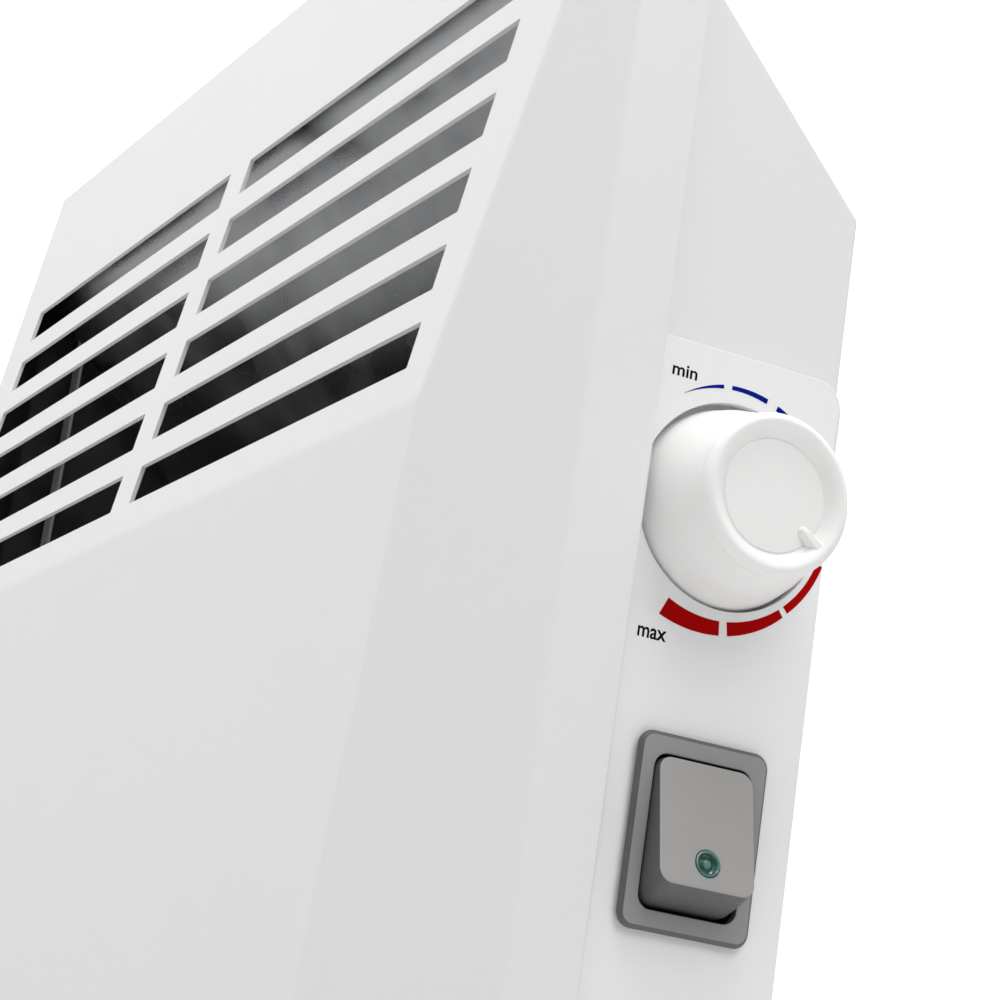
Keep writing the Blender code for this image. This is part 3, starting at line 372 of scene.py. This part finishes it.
grille_plane = Matrix.Translation(grille_top) @ Matrix.Rotation(-grille_tilt, 4, "X")
grille_plane = grille_plane @ Matrix(((1, 0, 0, 0), (0, 0, -1, 0), (0, 1, 0, 0), (0, 0, 0, 1)))
slot_length = panel_high.x - grille_margin - slot_bar / 2
slot_corner = 0.0004
through = 0.004
punching = bmesh.new()
for side in (-1, 1):
    across = side * (slot_bar + slot_length) / 2
    for row in range(slot_rows):
        down = top_slot + row * slot_pitch + slot_opening / 2
        outline = rounded(slot_length, slot_opening, slot_corner, (across, -down), 2)
        add_slab(punching, outline, -through, through, grille_plane)
punch = new_piece("slot_punch", punching, None)
casing_low, casing_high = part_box("rear_casing")
plate_low, plate_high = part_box("control_plate")
fit = 0.0003
level_z = Matrix.Identity(4)


def block(name, low, high):
    work = bmesh.new()
    low, high = Vector(low), Vector(high)
    stretch = Matrix.Diagonal((*(high - low), 1.0))
    bmesh.ops.create_cube(work, size=1.0, matrix=Matrix.Translation((low + high) / 2) @ stretch)
    return new_piece(name, work, None)


mouth = block(
    "casing_way",
    (casing_low.x - fit, panel_high.y - through, casing_low.z - fit),
    (casing_high.x + fit, panel_high.y + through, casing_high.z + fit),
)
notch = block(
    "plate_way",
    (casing_high.x - 0.002, panel_high.y - through, plate_low.z - fit),
    (plate_high.x + fit, panel_high.y + through, plate_high.z + fit),
)
inlet_low, inlet_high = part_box("inlet_grille")
inlet = block(
    "inlet_way",
    (inlet_low.x + 0.006, inlet_low.y + 0.005, panel_low.z - through),
    (inlet_high.x - 0.006, inlet_high.y - 0.003, panel_low.z + through),
)
cut(panel_skin, punch, mouth, notch, inlet)
fold_edges(panel_skin, 0.00012, 2, 50)
settle(panel_skin)
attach(panel_skin, "heater")
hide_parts("front_panel")

# Rear casing. A painted steel box with a sloped top, set back from the panel's edge all round, its
# bottom pierced for air, the cable gland and the latch, and its back for the rail's hooks.
slope_start = 0.0415
casing_back = casing_high.y
seam_y = panel_high.y
side_shape = [(casing_back, casing_low.z), (casing_back, slope_start)]
side_shape += [(seam_y, slope_start + casing_back - seam_y), (seam_y, casing_high.z)]
side_shape += [(casing_low.y, casing_high.z), (casing_low.y, casing_low.z)]
along_x = Matrix(((0, 0, 1, 0), (1, 0, 0, 0), (0, 1, 0, 0), (0, 0, 0, 1)))
casing_skin = slab("casing_skin", side_shape, casing_low.x, casing_high.x, along_x, white_coat)
casing_fold = 0.0012
casing_sheet = 0.0010
fold_edges(casing_skin, casing_fold, 4, 4)
thicken(casing_skin, casing_sheet)


def round_tool(name, radius, low, high, centre, turn, steps=48):
    """A cutting rod of round section, from low to high along the axis that turn gives it."""
    work = bmesh.new()
    size = {"radius1": radius, "radius2": radius, "depth": high - low, "segments": steps}
    middle = Matrix.Translation((*centre, (low + high) / 2))
    bmesh.ops.create_cone(work, cap_ends=True, matrix=middle, **size)
    bmesh.ops.transform(work, matrix=turn, verts=work.verts)
    return new_piece(name, work, None)


flange = 0.009
mouth = block(
    "casing_mouth",
    (casing_low.x + flange, casing_low.y - through, casing_low.z + flange),
    (casing_high.x - flange, casing_low.y + 0.003, casing_high.z - flange),
)
intake_count = 12
intake_size = (0.020, 0.014)
intake_corner = 0.0015
intake_back = 0.033
intake_pitch = (casing_high.x - casing_low.x - 0.060) / intake_count
intake_work = bmesh.new()
for i in range(intake_count):
    across = (i - (intake_count - 1) / 2) * intake_pitch
    outline = rounded(*intake_size, intake_corner, (across, casing_back - intake_back), 3)
    add_slab(intake_work, outline, casing_low.z - 0.003, casing_low.z + 0.003, level_z)
intakes = new_piece("intakes", intake_work, None)
hook_x = 0.100
hook_half = 0.013
hook_sill = 0.0185
hook_head = 0.034
windows = []
for side in (-1, 1):
    windows.append(block(
        "hook_window",
        (side * hook_x - hook_half, casing_back - through, hook_sill),
        (side * hook_x + hook_half, casing_back + through, hook_head),
    ))
gland_low, gland_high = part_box("cable_gland")
gland_middle = (gland_low + gland_high) / 2
bottom = (casing_low.z - through, casing_low.z + through)
gland_hole = 0.0062
gland_way = round_tool("gland_way", gland_hole, *bottom, gland_middle.xy, level_z)
latch_hole = 0.0031
latch_middle = (-0.150, casing_back - 0.012)
latch_way = round_tool("latch_way", latch_hole, *bottom, latch_middle, level_z)
bezel_low, bezel_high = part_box("rocker_bezel")
switch_middle = ((bezel_low + bezel_high) / 2).yz
housing_low, housing_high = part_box("rocker_housing")
housing_size = housing_high - housing_low
switch_hole = (housing_size.y + 2 * fit, housing_size.z + 2 * fit)
switch_outline = rounded(*switch_hole, 0.002, switch_middle, 4)
switch_reach = (casing_high.x - through, plate_high.x + through)
switch_way = slab("switch_way", switch_outline, *switch_reach, along_x)
switch_way["kept"] = True
knob_low, knob_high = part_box("thermostat_knob")
knob_middle = ((knob_low + knob_high) / 2).yz
bushing_hole = 0.0053
bushing_reach = (casing_high.x - through, casing_high.x + through)
bushing_way = round_tool("bushing_way", bushing_hole, *bushing_reach, knob_middle, along_x)
cut(casing_skin, mouth, intakes, *windows, gland_way, latch_way, switch_way, bushing_way)
fold_edges(casing_skin, 0.00010, 2, 50)
settle(casing_skin)
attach(casing_skin, "heater")
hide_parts("rear_casing")

# Control plate. A thicker painted plate on the casing's side with round rear corners. Its front
# edge is tucked under the panel's return, and the knob sits in a round well through it.
plate_gloss = painted("plate_coat", (0.890, 0.890, 0.888), (0.875, 0.875, 0.873), 0.26)
plate_corner = 0.0065
well_radius = 0.0232
well_middle = knob_middle + Vector((0.0, 0.0004))
plate_shape = [Vector((plate_low.y, plate_low.z)), Vector((plate_low.y, plate_high.z))]
for centre_z, start in ((plate_high.z - plate_corner, 90), (plate_low.z + plate_corner, 0)):
    for i in range(13):
        angle = math.radians(start - 7.5 * i)
        y = plate_high.y - plate_corner + plate_corner * math.cos(angle)
        plate_shape.append(Vector((y, centre_z + plate_corner * math.sin(angle))))
plate_skin = slab("plate_skin", plate_shape, plate_low.x, plate_high.x, along_x, plate_gloss)
well_reach = (plate_low.x - 0.002, plate_high.x + 0.002)
well = round_tool("well", well_radius, *well_reach, well_middle, along_x, 128)
cut(plate_skin, well, switch_way)
fold_edges(plate_skin, 0.00045, 3, 50)
settle(plate_skin)
bpy.data.objects.remove(switch_way)
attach(plate_skin, "heater")
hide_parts("control_plate")


# Dial marks. Screen-printed on the plate: three thin blue strokes for cool, which swell round the
# dial into three broad red ones for warm, and two small words beside them.
def ink(name, colour):
    material, shader, where = new_finish(name, {"Specular IOR Level": 0.05})
    darker = [0.86 * level for level in colour]
    where.grain(0.0006).tint(darker, colour).into(shader, "Base Color")
    (0.34 + 0.12 * where.grain(0.0008)).into(shader, "Roughness")
    where.grain(0.0003).relief(0.000004).into(shader, "Normal")
    return material


blue_ink = ink("blue_ink", (0.0, 0.008, 0.26))
red_ink = ink("red_ink", (0.42, 0.0, 0.0))
dark_ink = ink("dark_ink", (0.006, 0.006, 0.007))
dial_middle = Vector((knob_middle.x - 0.0016, knob_middle.y + 0.0006))
dial_radius = 0.0259
film_thickness = 0.00002
ink_level = plate_high.x + 0.00003
stroke_steps = 18
# Each stroke's name, first and last angle round the dial, thickness at both ends, and ink.
strokes = (
    ("cool_mark_1", 122.0, 98.8, 0.00005, 0.0009, blue_ink),
    ("cool_mark_2", 94.3, 74.0, 0.00095, 0.00125, blue_ink),
    ("cool_mark_3", 68.0, 40.0, 0.00130, 0.00145, blue_ink),
    ("warm_mark_3", -17.0, -47.4, 0.0016, 0.0018, red_ink),
    ("warm_mark_2", -50.4, -81.2, 0.0020, 0.0031, red_ink),
    ("warm_mark_1", -85.3, -115.0, 0.0032, 0.0044, red_ink),
)
for name, first, last, thin, thick, colour in strokes:
    work = bmesh.new()
    rows = []
    for i in range(stroke_steps + 1):
        angle = math.radians(first + (last - first) * i / stroke_steps)
        turn = Vector((math.cos(angle), math.sin(angle)))
        reach = dial_radius + thin + (thick - thin) * i / stroke_steps
        ends = (dial_middle + turn * dial_radius, dial_middle + turn * reach)
        rows.append([work.verts.new((ink_level, *end)) for end in ends])
    for near, far in zip(rows, rows[1:]):
        work.faces.new((near[0], near[1], far[1], far[0]))
    mark = new_piece(name, work, colour)
    film = mark.modifiers.new("film", "SOLIDIFY")
    film.thickness = film_thickness
    film.offset = 0
    settle(mark)
    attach(mark, "heater")

# Each word, the place of its left end and foot, its width and the height of its low letters,
# which are low_letter high in the typeface as it comes.
words = (("min", -0.0567, -0.0085, 0.0063, 0.0022), ("max", -0.0568, -0.0673, 0.0071, 0.0025))
low_letter = 0.53
for word, left, foot, width, x_height in words:
    lettering = bpy.data.curves.new("word_" + word, "FONT")
    lettering.body = word
    lettering.fill_mode = "FRONT"
    lettering.offset = 0.018
    drawn = bpy.data.objects.new("drawn_" + word, lettering)
    bpy.context.scene.collection.objects.link(drawn)
    bpy.context.view_layer.update()
    graph = bpy.context.evaluated_depsgraph_get()
    letters = bpy.data.meshes.new_from_object(drawn.evaluated_get(graph))
    bpy.data.objects.remove(drawn)
    across = [vert.co.x for vert in letters.vertices]
    narrow = width / (max(across) - min(across))
    tall = x_height / low_letter
    flush_left = Matrix.Translation((-min(across), 0.0, 0.0))
    spread = Matrix.Diagonal((narrow, tall, 1.0, 1.0)) @ flush_left
    letters.transform(Matrix.Translation((ink_level, left, foot)) @ along_x @ spread)
    label = bpy.data.objects.new("word_" + word, letters)
    bpy.context.scene.collection.objects.link(label)
    letters.materials.append(dark_ink)
    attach(label, "heater")


# Thermostat knob. Moulded satin white plastic: a hollow cone that narrows to a soft round lip, a
# dished face with a flat disc sunk in it, and a short pointer rib across the dish.
def moulded(name, light, dark, gloss, texture, fixed):
    material, shader, where = new_finish(name, fixed)
    where.grain(0.012).tint(dark, light).into(shader, "Base Color")
    (gloss + 0.08 * where.grain(0.003)).into(shader, "Roughness")
    where.grain(0.00035, 3.0).relief(texture).into(shader, "Normal")
    return material


white_plastic = moulded(
    "white_plastic", (0.905, 0.905, 0.893), (0.890, 0.890, 0.877), 0.30, 0.000004,
    {"IOR": 1.47, "Subsurface Weight": 0.12, "Subsurface Scale": 0.0015},
)


def bend(centre, radius, start, end, steps):
    """Points round part of a circle in a profile, as (along the axis, out from the axis)."""
    points = []
    for i in range(steps + 1):
        turn = math.radians(start + (end - start) * i / steps)
        points.append((centre[0] + radius * math.sin(turn), centre[1] + radius * math.cos(turn)))
    return points


def lathe(name, profile, centre, material, steps=128):
    """A closed profile turned about the X axis through a centre."""
    mesh = bpy.data.meshes.new(name)
    count = len(profile)
    edges = [(i, i + 1) for i in range(count - 1)]
    if profile[0][1] > 0:
        edges.append((count - 1, 0))
    mesh.from_pydata([(out, 0.0, along) for along, out in profile], edges, [])
    piece = bpy.data.objects.new(name, mesh)
    bpy.context.scene.collection.objects.link(piece)
    screw = piece.modifiers.new("turn", "SCREW")
    screw.steps = steps
    screw.render_steps = steps
    screw.use_merge_vertices = True
    screw.merge_threshold = 0.00001
    bpy.context.view_layer.update()
    graph = bpy.context.evaluated_depsgraph_get()
    spun = bpy.data.meshes.new_from_object(piece.evaluated_get(graph))
    bpy.data.objects.remove(piece)
    work = bmesh.new()
    work.from_mesh(spun)
    place = Matrix.Translation((0.0, *centre)) @ along_x
    bmesh.ops.transform(work, matrix=place, verts=work.verts)
    made = new_piece(name, work, material)
    settle(made)
    return made


lip_x = knob_high.x
lip_radius = 0.0180
disc_radius = 0.0125
disc_x = lip_x - 0.0023
foot_x = knob_low.x
foot_radius = well_radius - 0.0007
wall = 0.0022
bead = 0.0020
hub = 0.0060
bore = 0.0031
hub_x = foot_x + 0.0037
skirt = [(foot_x, foot_radius), (plate_high.x, foot_radius - 0.0006)]
skirt += [(plate_high.x + 0.004, foot_radius - 0.0013)]
skirt += [(plate_high.x + 0.0085, foot_radius - 0.0025)]
skirt += [(plate_high.x + 0.0125, foot_radius - 0.0037), (lip_x - 0.0050, lip_radius)]
lip = bend((lip_x - bead, lip_radius - bead), bead, -30, 90, 10)
dish = [(lip_x - 0.0002, lip_radius - 0.0028), (lip_x - 0.0008, lip_radius - 0.0037)]
dish += [(disc_x + 0.0005, disc_radius + 0.0010), (disc_x + 0.0001, disc_radius + 0.0004)]
groove = [(disc_x - 0.00025, disc_radius + 0.0001), (disc_x - 0.00025, disc_radius - 0.00015)]
groove += [(disc_x, disc_radius - 0.0003)]
hollow = [(disc_x, 0.0), (lip_x - 0.0065, 0.0), (lip_x - 0.0065, bore), (hub_x, bore)]
hollow += [(hub_x, hub), (disc_x - 0.0019, hub), (disc_x - 0.0019, disc_radius)]
hollow += [(plate_high.x + 0.009, foot_radius - 0.0026 - wall), (foot_x, foot_radius - wall)]
knob_profile = skirt + lip + dish + groove + hollow
knob_skin = lathe("knob_skin", knob_profile, knob_middle, white_plastic)
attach(knob_skin, "knob")
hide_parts("thermostat_knob")

rib_angle = math.radians(-38)
rib_work = bmesh.new()
# The rib's foot and its top: height over the disc, reach from the axis, and half its width.
rib_shape = (
    (-0.0008, 0.0087, 0.0009), (-0.0008, 0.0099, 0.0017), (-0.0008, 0.0160, 0.0021),
    (0.0012, 0.0092, 0.0004), (0.0016, 0.0104, 0.0007), (0.0019, 0.0162, 0.0008),
)
for height, reach, half in rib_shape:
    for side in (-1, 1):
        rib_work.verts.new((height, reach, side * half))
bmesh.ops.convex_hull(rib_work, input=rib_work.verts)
on_face = Matrix.Translation((disc_x, *knob_middle)) @ Matrix.Rotation(rib_angle, 4, "X")
bmesh.ops.transform(rib_work, matrix=on_face, verts=rib_work.verts)
rib = new_piece("knob_pointer", rib_work, white_plastic)
fold_edges(rib, 0.0006, 4, 15)
settle(rib, 60.0)
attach(rib, "knob")

# Rocker switch. A warm grey moulded bezel with a chamfered rim holds a slightly paler rocker,
# pressed in at the top so that its lower end stands proud. The bezel's grey is darkened partly as
# painted shade, and the side walls of both get a much darker copy as painted shade. The moulds are
# finely spark-eroded.
grey_plastic = moulded(
    "grey_plastic", (0.345, 0.338, 0.329), (0.325, 0.318, 0.310), 0.40, 0.000012, {"IOR": 1.5}
)
# A much darker copy of the grey plastic: painted shade for the rocker's side walls and the bezel's
# chamfered rim.
painted_shade_plastic = moulded(
    "painted_shade_plastic", (0.115, 0.110, 0.112), (0.095, 0.090, 0.092), 0.46, 0.000012, {"IOR": 1.5}
)
# The bezel's own warm grey, kept darker than the rocker's partly as painted shade from the raised
# rocker.
shaded_bezel_plastic = moulded(
    "shaded_bezel_plastic", (0.300, 0.291, 0.294), (0.280, 0.272, 0.275), 0.42, 0.000012, {"IOR": 1.5}
)


def shade_sides(piece, outwards, facing):
    """Gives the faces that don't look outwards a rougher, much darker copy of the plastic: painted
    shade on the side walls.
    """
    piece.data.materials.append(painted_shade_plastic)
    for face in piece.data.polygons:
        face.material_index = int(face.normal.dot(outwards) < facing)


bezel_size = bezel_high - bezel_low
rocker_low, rocker_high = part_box("rocker_button")
window_size = (rocker_high.y - rocker_low.y + 0.0007, housing_size.z - 0.0024)
bezel_shape = rounded(bezel_size.y, bezel_size.z, 0.0034, switch_middle, 8)
bezel_skin = slab("bezel_skin", bezel_shape, bezel_low.x, bezel_high.x, along_x, shaded_bezel_plastic)
window_shape = rounded(*window_size, 0.0031, switch_middle, 8)
window = slab("window", window_shape, bezel_low.x - 0.002, bezel_high.x + 0.002, along_x)
rim = bezel_skin.modifiers.new("rim", "BEVEL")
rim.width = 0.0009
rim.segments = 1
rim.limit_method = "ANGLE"
rim.angle_limit = math.radians(60)
cut(bezel_skin, window)
fold_edges(bezel_skin, 0.00025, 2, 60)
settle(bezel_skin, 20.0)
shade_sides(bezel_skin, Vector((1.0, 0.0, 0.0)), 0.9)
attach(bezel_skin, "heater")
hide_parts("rocker_bezel")

rocker_tilt = math.radians(14)
face_out = 0.00965
pivot = Vector((bezel_high.x - 0.0050, *switch_middle))
face_half = window_size[1] / 2 - 0.0024
rocker_half = (rocker_high.y - rocker_low.y) / 2
lean = Matrix.Translation(pivot) @ Matrix.Rotation(-rocker_tilt, 4, "Y") @ along_x
rocker_work = bmesh.new()
# The rocker's sections from its pin outwards: height, half its width and length, corner radius.
sections = (
    (-0.0030, rocker_half, face_half + 0.0014, 0.0036),
    (0.0, rocker_half, face_half + 0.0018, 0.0036),
    (0.0050, rocker_half, face_half + 0.0011, 0.0036),
    (0.0080, rocker_half, face_half + 0.0004, 0.0035),
    (face_out - 0.0005, rocker_half, face_half, 0.0034),
    (face_out - 0.00015, rocker_half - 0.00015, face_half - 0.00015, 0.0031),
    (face_out, rocker_half - 0.0005, face_half - 0.0005, 0.0029),
)
rings = []
for out, half_wide, half_tall, corner in sections:
    outline = rounded(2 * half_wide, 2 * half_tall, corner, (0.0, 0.0), 8)
    rings.append([rocker_work.verts.new(lean @ Vector((*point, out))) for point in outline])
rocker_work.faces.new(rings[0])
rocker_work.faces.new(rings[-1])
for near, far in zip(rings, rings[1:]):
    for i in range(len(near)):
        rocker_work.faces.new((near[i - 1], near[i], far[i], far[i - 1]))
outwards = (lean.to_3x3() @ Vector((0.0, 0.0, 1.0))).normalized()
rocker_skin = new_piece("rocker_skin", rocker_work, grey_plastic)
lens_radius = 0.0031
lens_down = 0.0082
lens_turn = lean @ Matrix.Translation((0.0, -lens_down, 0.0))
seat_reach = (face_out - 0.003, face_out + 0.003)
lens_seat = round_tool("lens_seat", lens_radius, *seat_reach, (0.0, 0.0), lens_turn)
cut(rocker_skin, lens_seat)
settle(rocker_skin)
shade_sides(rocker_skin, outwards, 0.6)
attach(rocker_skin, "rocker")
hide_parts("rocker_button")

# Indicator lens. A green translucent button pressed into the rocker: a rim, a moat with a
# stepped floor that catches the light, and a boss in the middle over the lamp. Rim and boss get a
# paler copy of the green: a painted highlight on the rim and painted lamp glow on the boss.
lens_gloss = {"IOR": 1.49, "Coat Weight": 0.6, "Coat Roughness": 0.08}
lens_green, lens_shader, lens_where = new_finish("lens_green", lens_gloss)
lens_mix = lens_where.grain(0.0009, 3.0).between(0.35, 0.65, 0.0, 1.0)
lens_mix.tint((0.006, 0.045, 0.035), (0.025, 0.110, 0.085)).into(lens_shader, "Base Color")
(0.16 + 0.14 * lens_where.grain(0.0006)).into(lens_shader, "Roughness")
lens_where.grain(0.0005).relief(0.00003).into(lens_shader, "Normal")
# A paler copy of the lens green for the rim and the boss: painted highlight and painted lamp glow.
lens_lit_green, lit_green_shader, lit_green_where = new_finish("lens_lit_green", lens_gloss)
lit_green_mix = lit_green_where.grain(0.0007)
lit_green_mix.tint((0.035, 0.130, 0.105), (0.080, 0.235, 0.195)).into(lit_green_shader, "Base Color")
(0.18 + 0.10 * lit_green_where.grain(0.0006)).into(lit_green_shader, "Roughness")
lit_green_where.grain(0.0006).relief(0.00002).into(lit_green_shader, "Normal")


def lens_part(name, profile, material):
    """Turns a profile about the rocker's own lens axis."""
    part = lathe(name, profile, (0.0, 0.0), material, 48)
    part.data.transform(lens_turn @ along_x.inverted())
    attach(part, "rocker")
    return part


def from_face(*points):
    """A profile whose heights are measured from the rocker's face."""
    return [(face_out + above, out) for above, out in points]


rim_profile = from_face(
    (-0.0028, 0.0020), (-0.0028, 0.0030), (-0.0001, 0.0030), (0.00025, 0.00285),
    (0.0003, 0.0026), (0.0001, 0.00238), (-0.0007, 0.0022), (-0.0008, 0.0020),
)
lens_rim = lens_part("lens_rim", rim_profile, lens_lit_green)
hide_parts("rocker_lens")
moat_profile = from_face(
    (-0.0025, 0.0), (-0.0025, 0.00215), (-0.00065, 0.00215),
    (-0.0009, 0.0017), (-0.0006, 0.0011), (-0.0007, 0.0),
)
lens_moat = lens_part("lens_moat", moat_profile, lens_green)
boss_profile = from_face(
    (-0.0012, 0.0), (-0.0012, 0.00115), (-0.0003, 0.00105), (0.0, 0.00075), (0.0001, 0.0)
)
lens_boss = lens_part("lens_boss", boss_profile, lens_lit_green)


# Galvanised sheet. The air guide behind the slots, the inlet grille and the wall fixings are bare
# zinc-coated steel: dull, with a soft cloudy bloom and faint spangle.
def coat(material, *names):
    """Gives CAD pieces whose shape is right a finish."""
    for name in names:
        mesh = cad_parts[name].data
        mesh.materials.clear()
        mesh.materials.append(material)


zinc = metal("zinc", (0.58, 0.59, 0.60), (0.36, 0.37, 0.38), 0.24, 0.040, 0.00004)
coat(zinc, "air_guide", "inlet_grille", "wall_rail", "wall_clip")

# Plain metals. Springs, brackets, pin, latch and studs are plated steel, the fins aluminium, the
# shield dull zinc darkened as painted shade, the terminals and the thermostat's fittings brass,
# its tube and bulb copper.
steel = metal("plated_steel", (0.60, 0.60, 0.61), (0.48, 0.48, 0.49), 0.28, 0.006, 0.00001)
handed = ("panel_clip_upper_", "panel_clip_lower_", "element_bracket_", "element_stud_")
coat(steel, *[kind + hand for kind in handed for hand in ("left", "right")])
coat(steel, "knob_clip", "rocker_pin", "bracket_latch", "cutout_bracket", "element_sheath")
aluminium = metal("aluminium", (0.74, 0.75, 0.76), (0.62, 0.63, 0.64), 0.30, 0.015, 0.00002)
coat(aluminium, "element_fins")
coat(shaded_bare_inside, "heat_shield")
brass = metal("brass", (0.74, 0.58, 0.28), (0.60, 0.46, 0.20), 0.26, 0.004, 0.00001)
works = ("bushing", "nut", "spindle", "plunger", "leaf", "terminal_1", "terminal_2")
coat(brass, "cutout_terminal_1", "cutout_terminal_2", *["thermostat_" + part for part in works])
coat(brass, *[kind + str(i) for kind in ("switch_terminal_", "clamp_screw_") for i in (1, 2, 3)])
copper = metal("copper", (0.72, 0.42, 0.28), (0.55, 0.30, 0.19), 0.26, 0.006, 0.00001)
coat(copper, "capillary_tube", "thermostat_bulb")

# Other mouldings. Black housings, gland and spacers, a white terminal block, ceramic insulators,
# the lamp in the switch and the woven sleeves of the leads.
black_plastic = moulded(
    "black_plastic", (0.030, 0.030, 0.031), (0.022, 0.022, 0.023), 0.42, 0.00001, {"IOR": 1.5}
)
coat(black_plastic, "thermostat_body", "rocker_housing", "thermal_cutout", "cable_gland")
coat(black_plastic, "gland_nut", "wall_spacer_left", "wall_spacer_right")
coat(white_plastic, "terminal_block")
ceramic = moulded("ceramic", (0.80, 0.77, 0.70), (0.70, 0.66, 0.59), 0.55, 0.00003, {"IOR": 1.5})
coat(ceramic, "element_insulator_left", "element_insulator_right")
neon = moulded("neon_glass", (0.85, 0.60, 0.45), (0.75, 0.48, 0.34), 0.10, 0.00001, {"IOR": 1.5})
coat(neon, "indicator_lamp")
woven, woven_shader, woven_where = new_finish("woven_sleeve", {"IOR": 1.4})
strands = {"Vector": woven_where, "Scale": 1600.0}
weave = woven_where.node("ShaderNodeTexVoronoi", {}, strands, "Distance")
fibres = weave.between(0.1, 0.7, 1.0, 0.0)
fibres.tint((0.50, 0.49, 0.45), (0.76, 0.75, 0.71)).into(woven_shader, "Base Color")
(0.55 + 0.25 * weave).into(woven_shader, "Roughness")
weave.relief(0.0002).into(woven_shader, "Normal")
coat(woven, "lead_switch", "lead_thermostat", "lead_cutout", "lead_neutral")
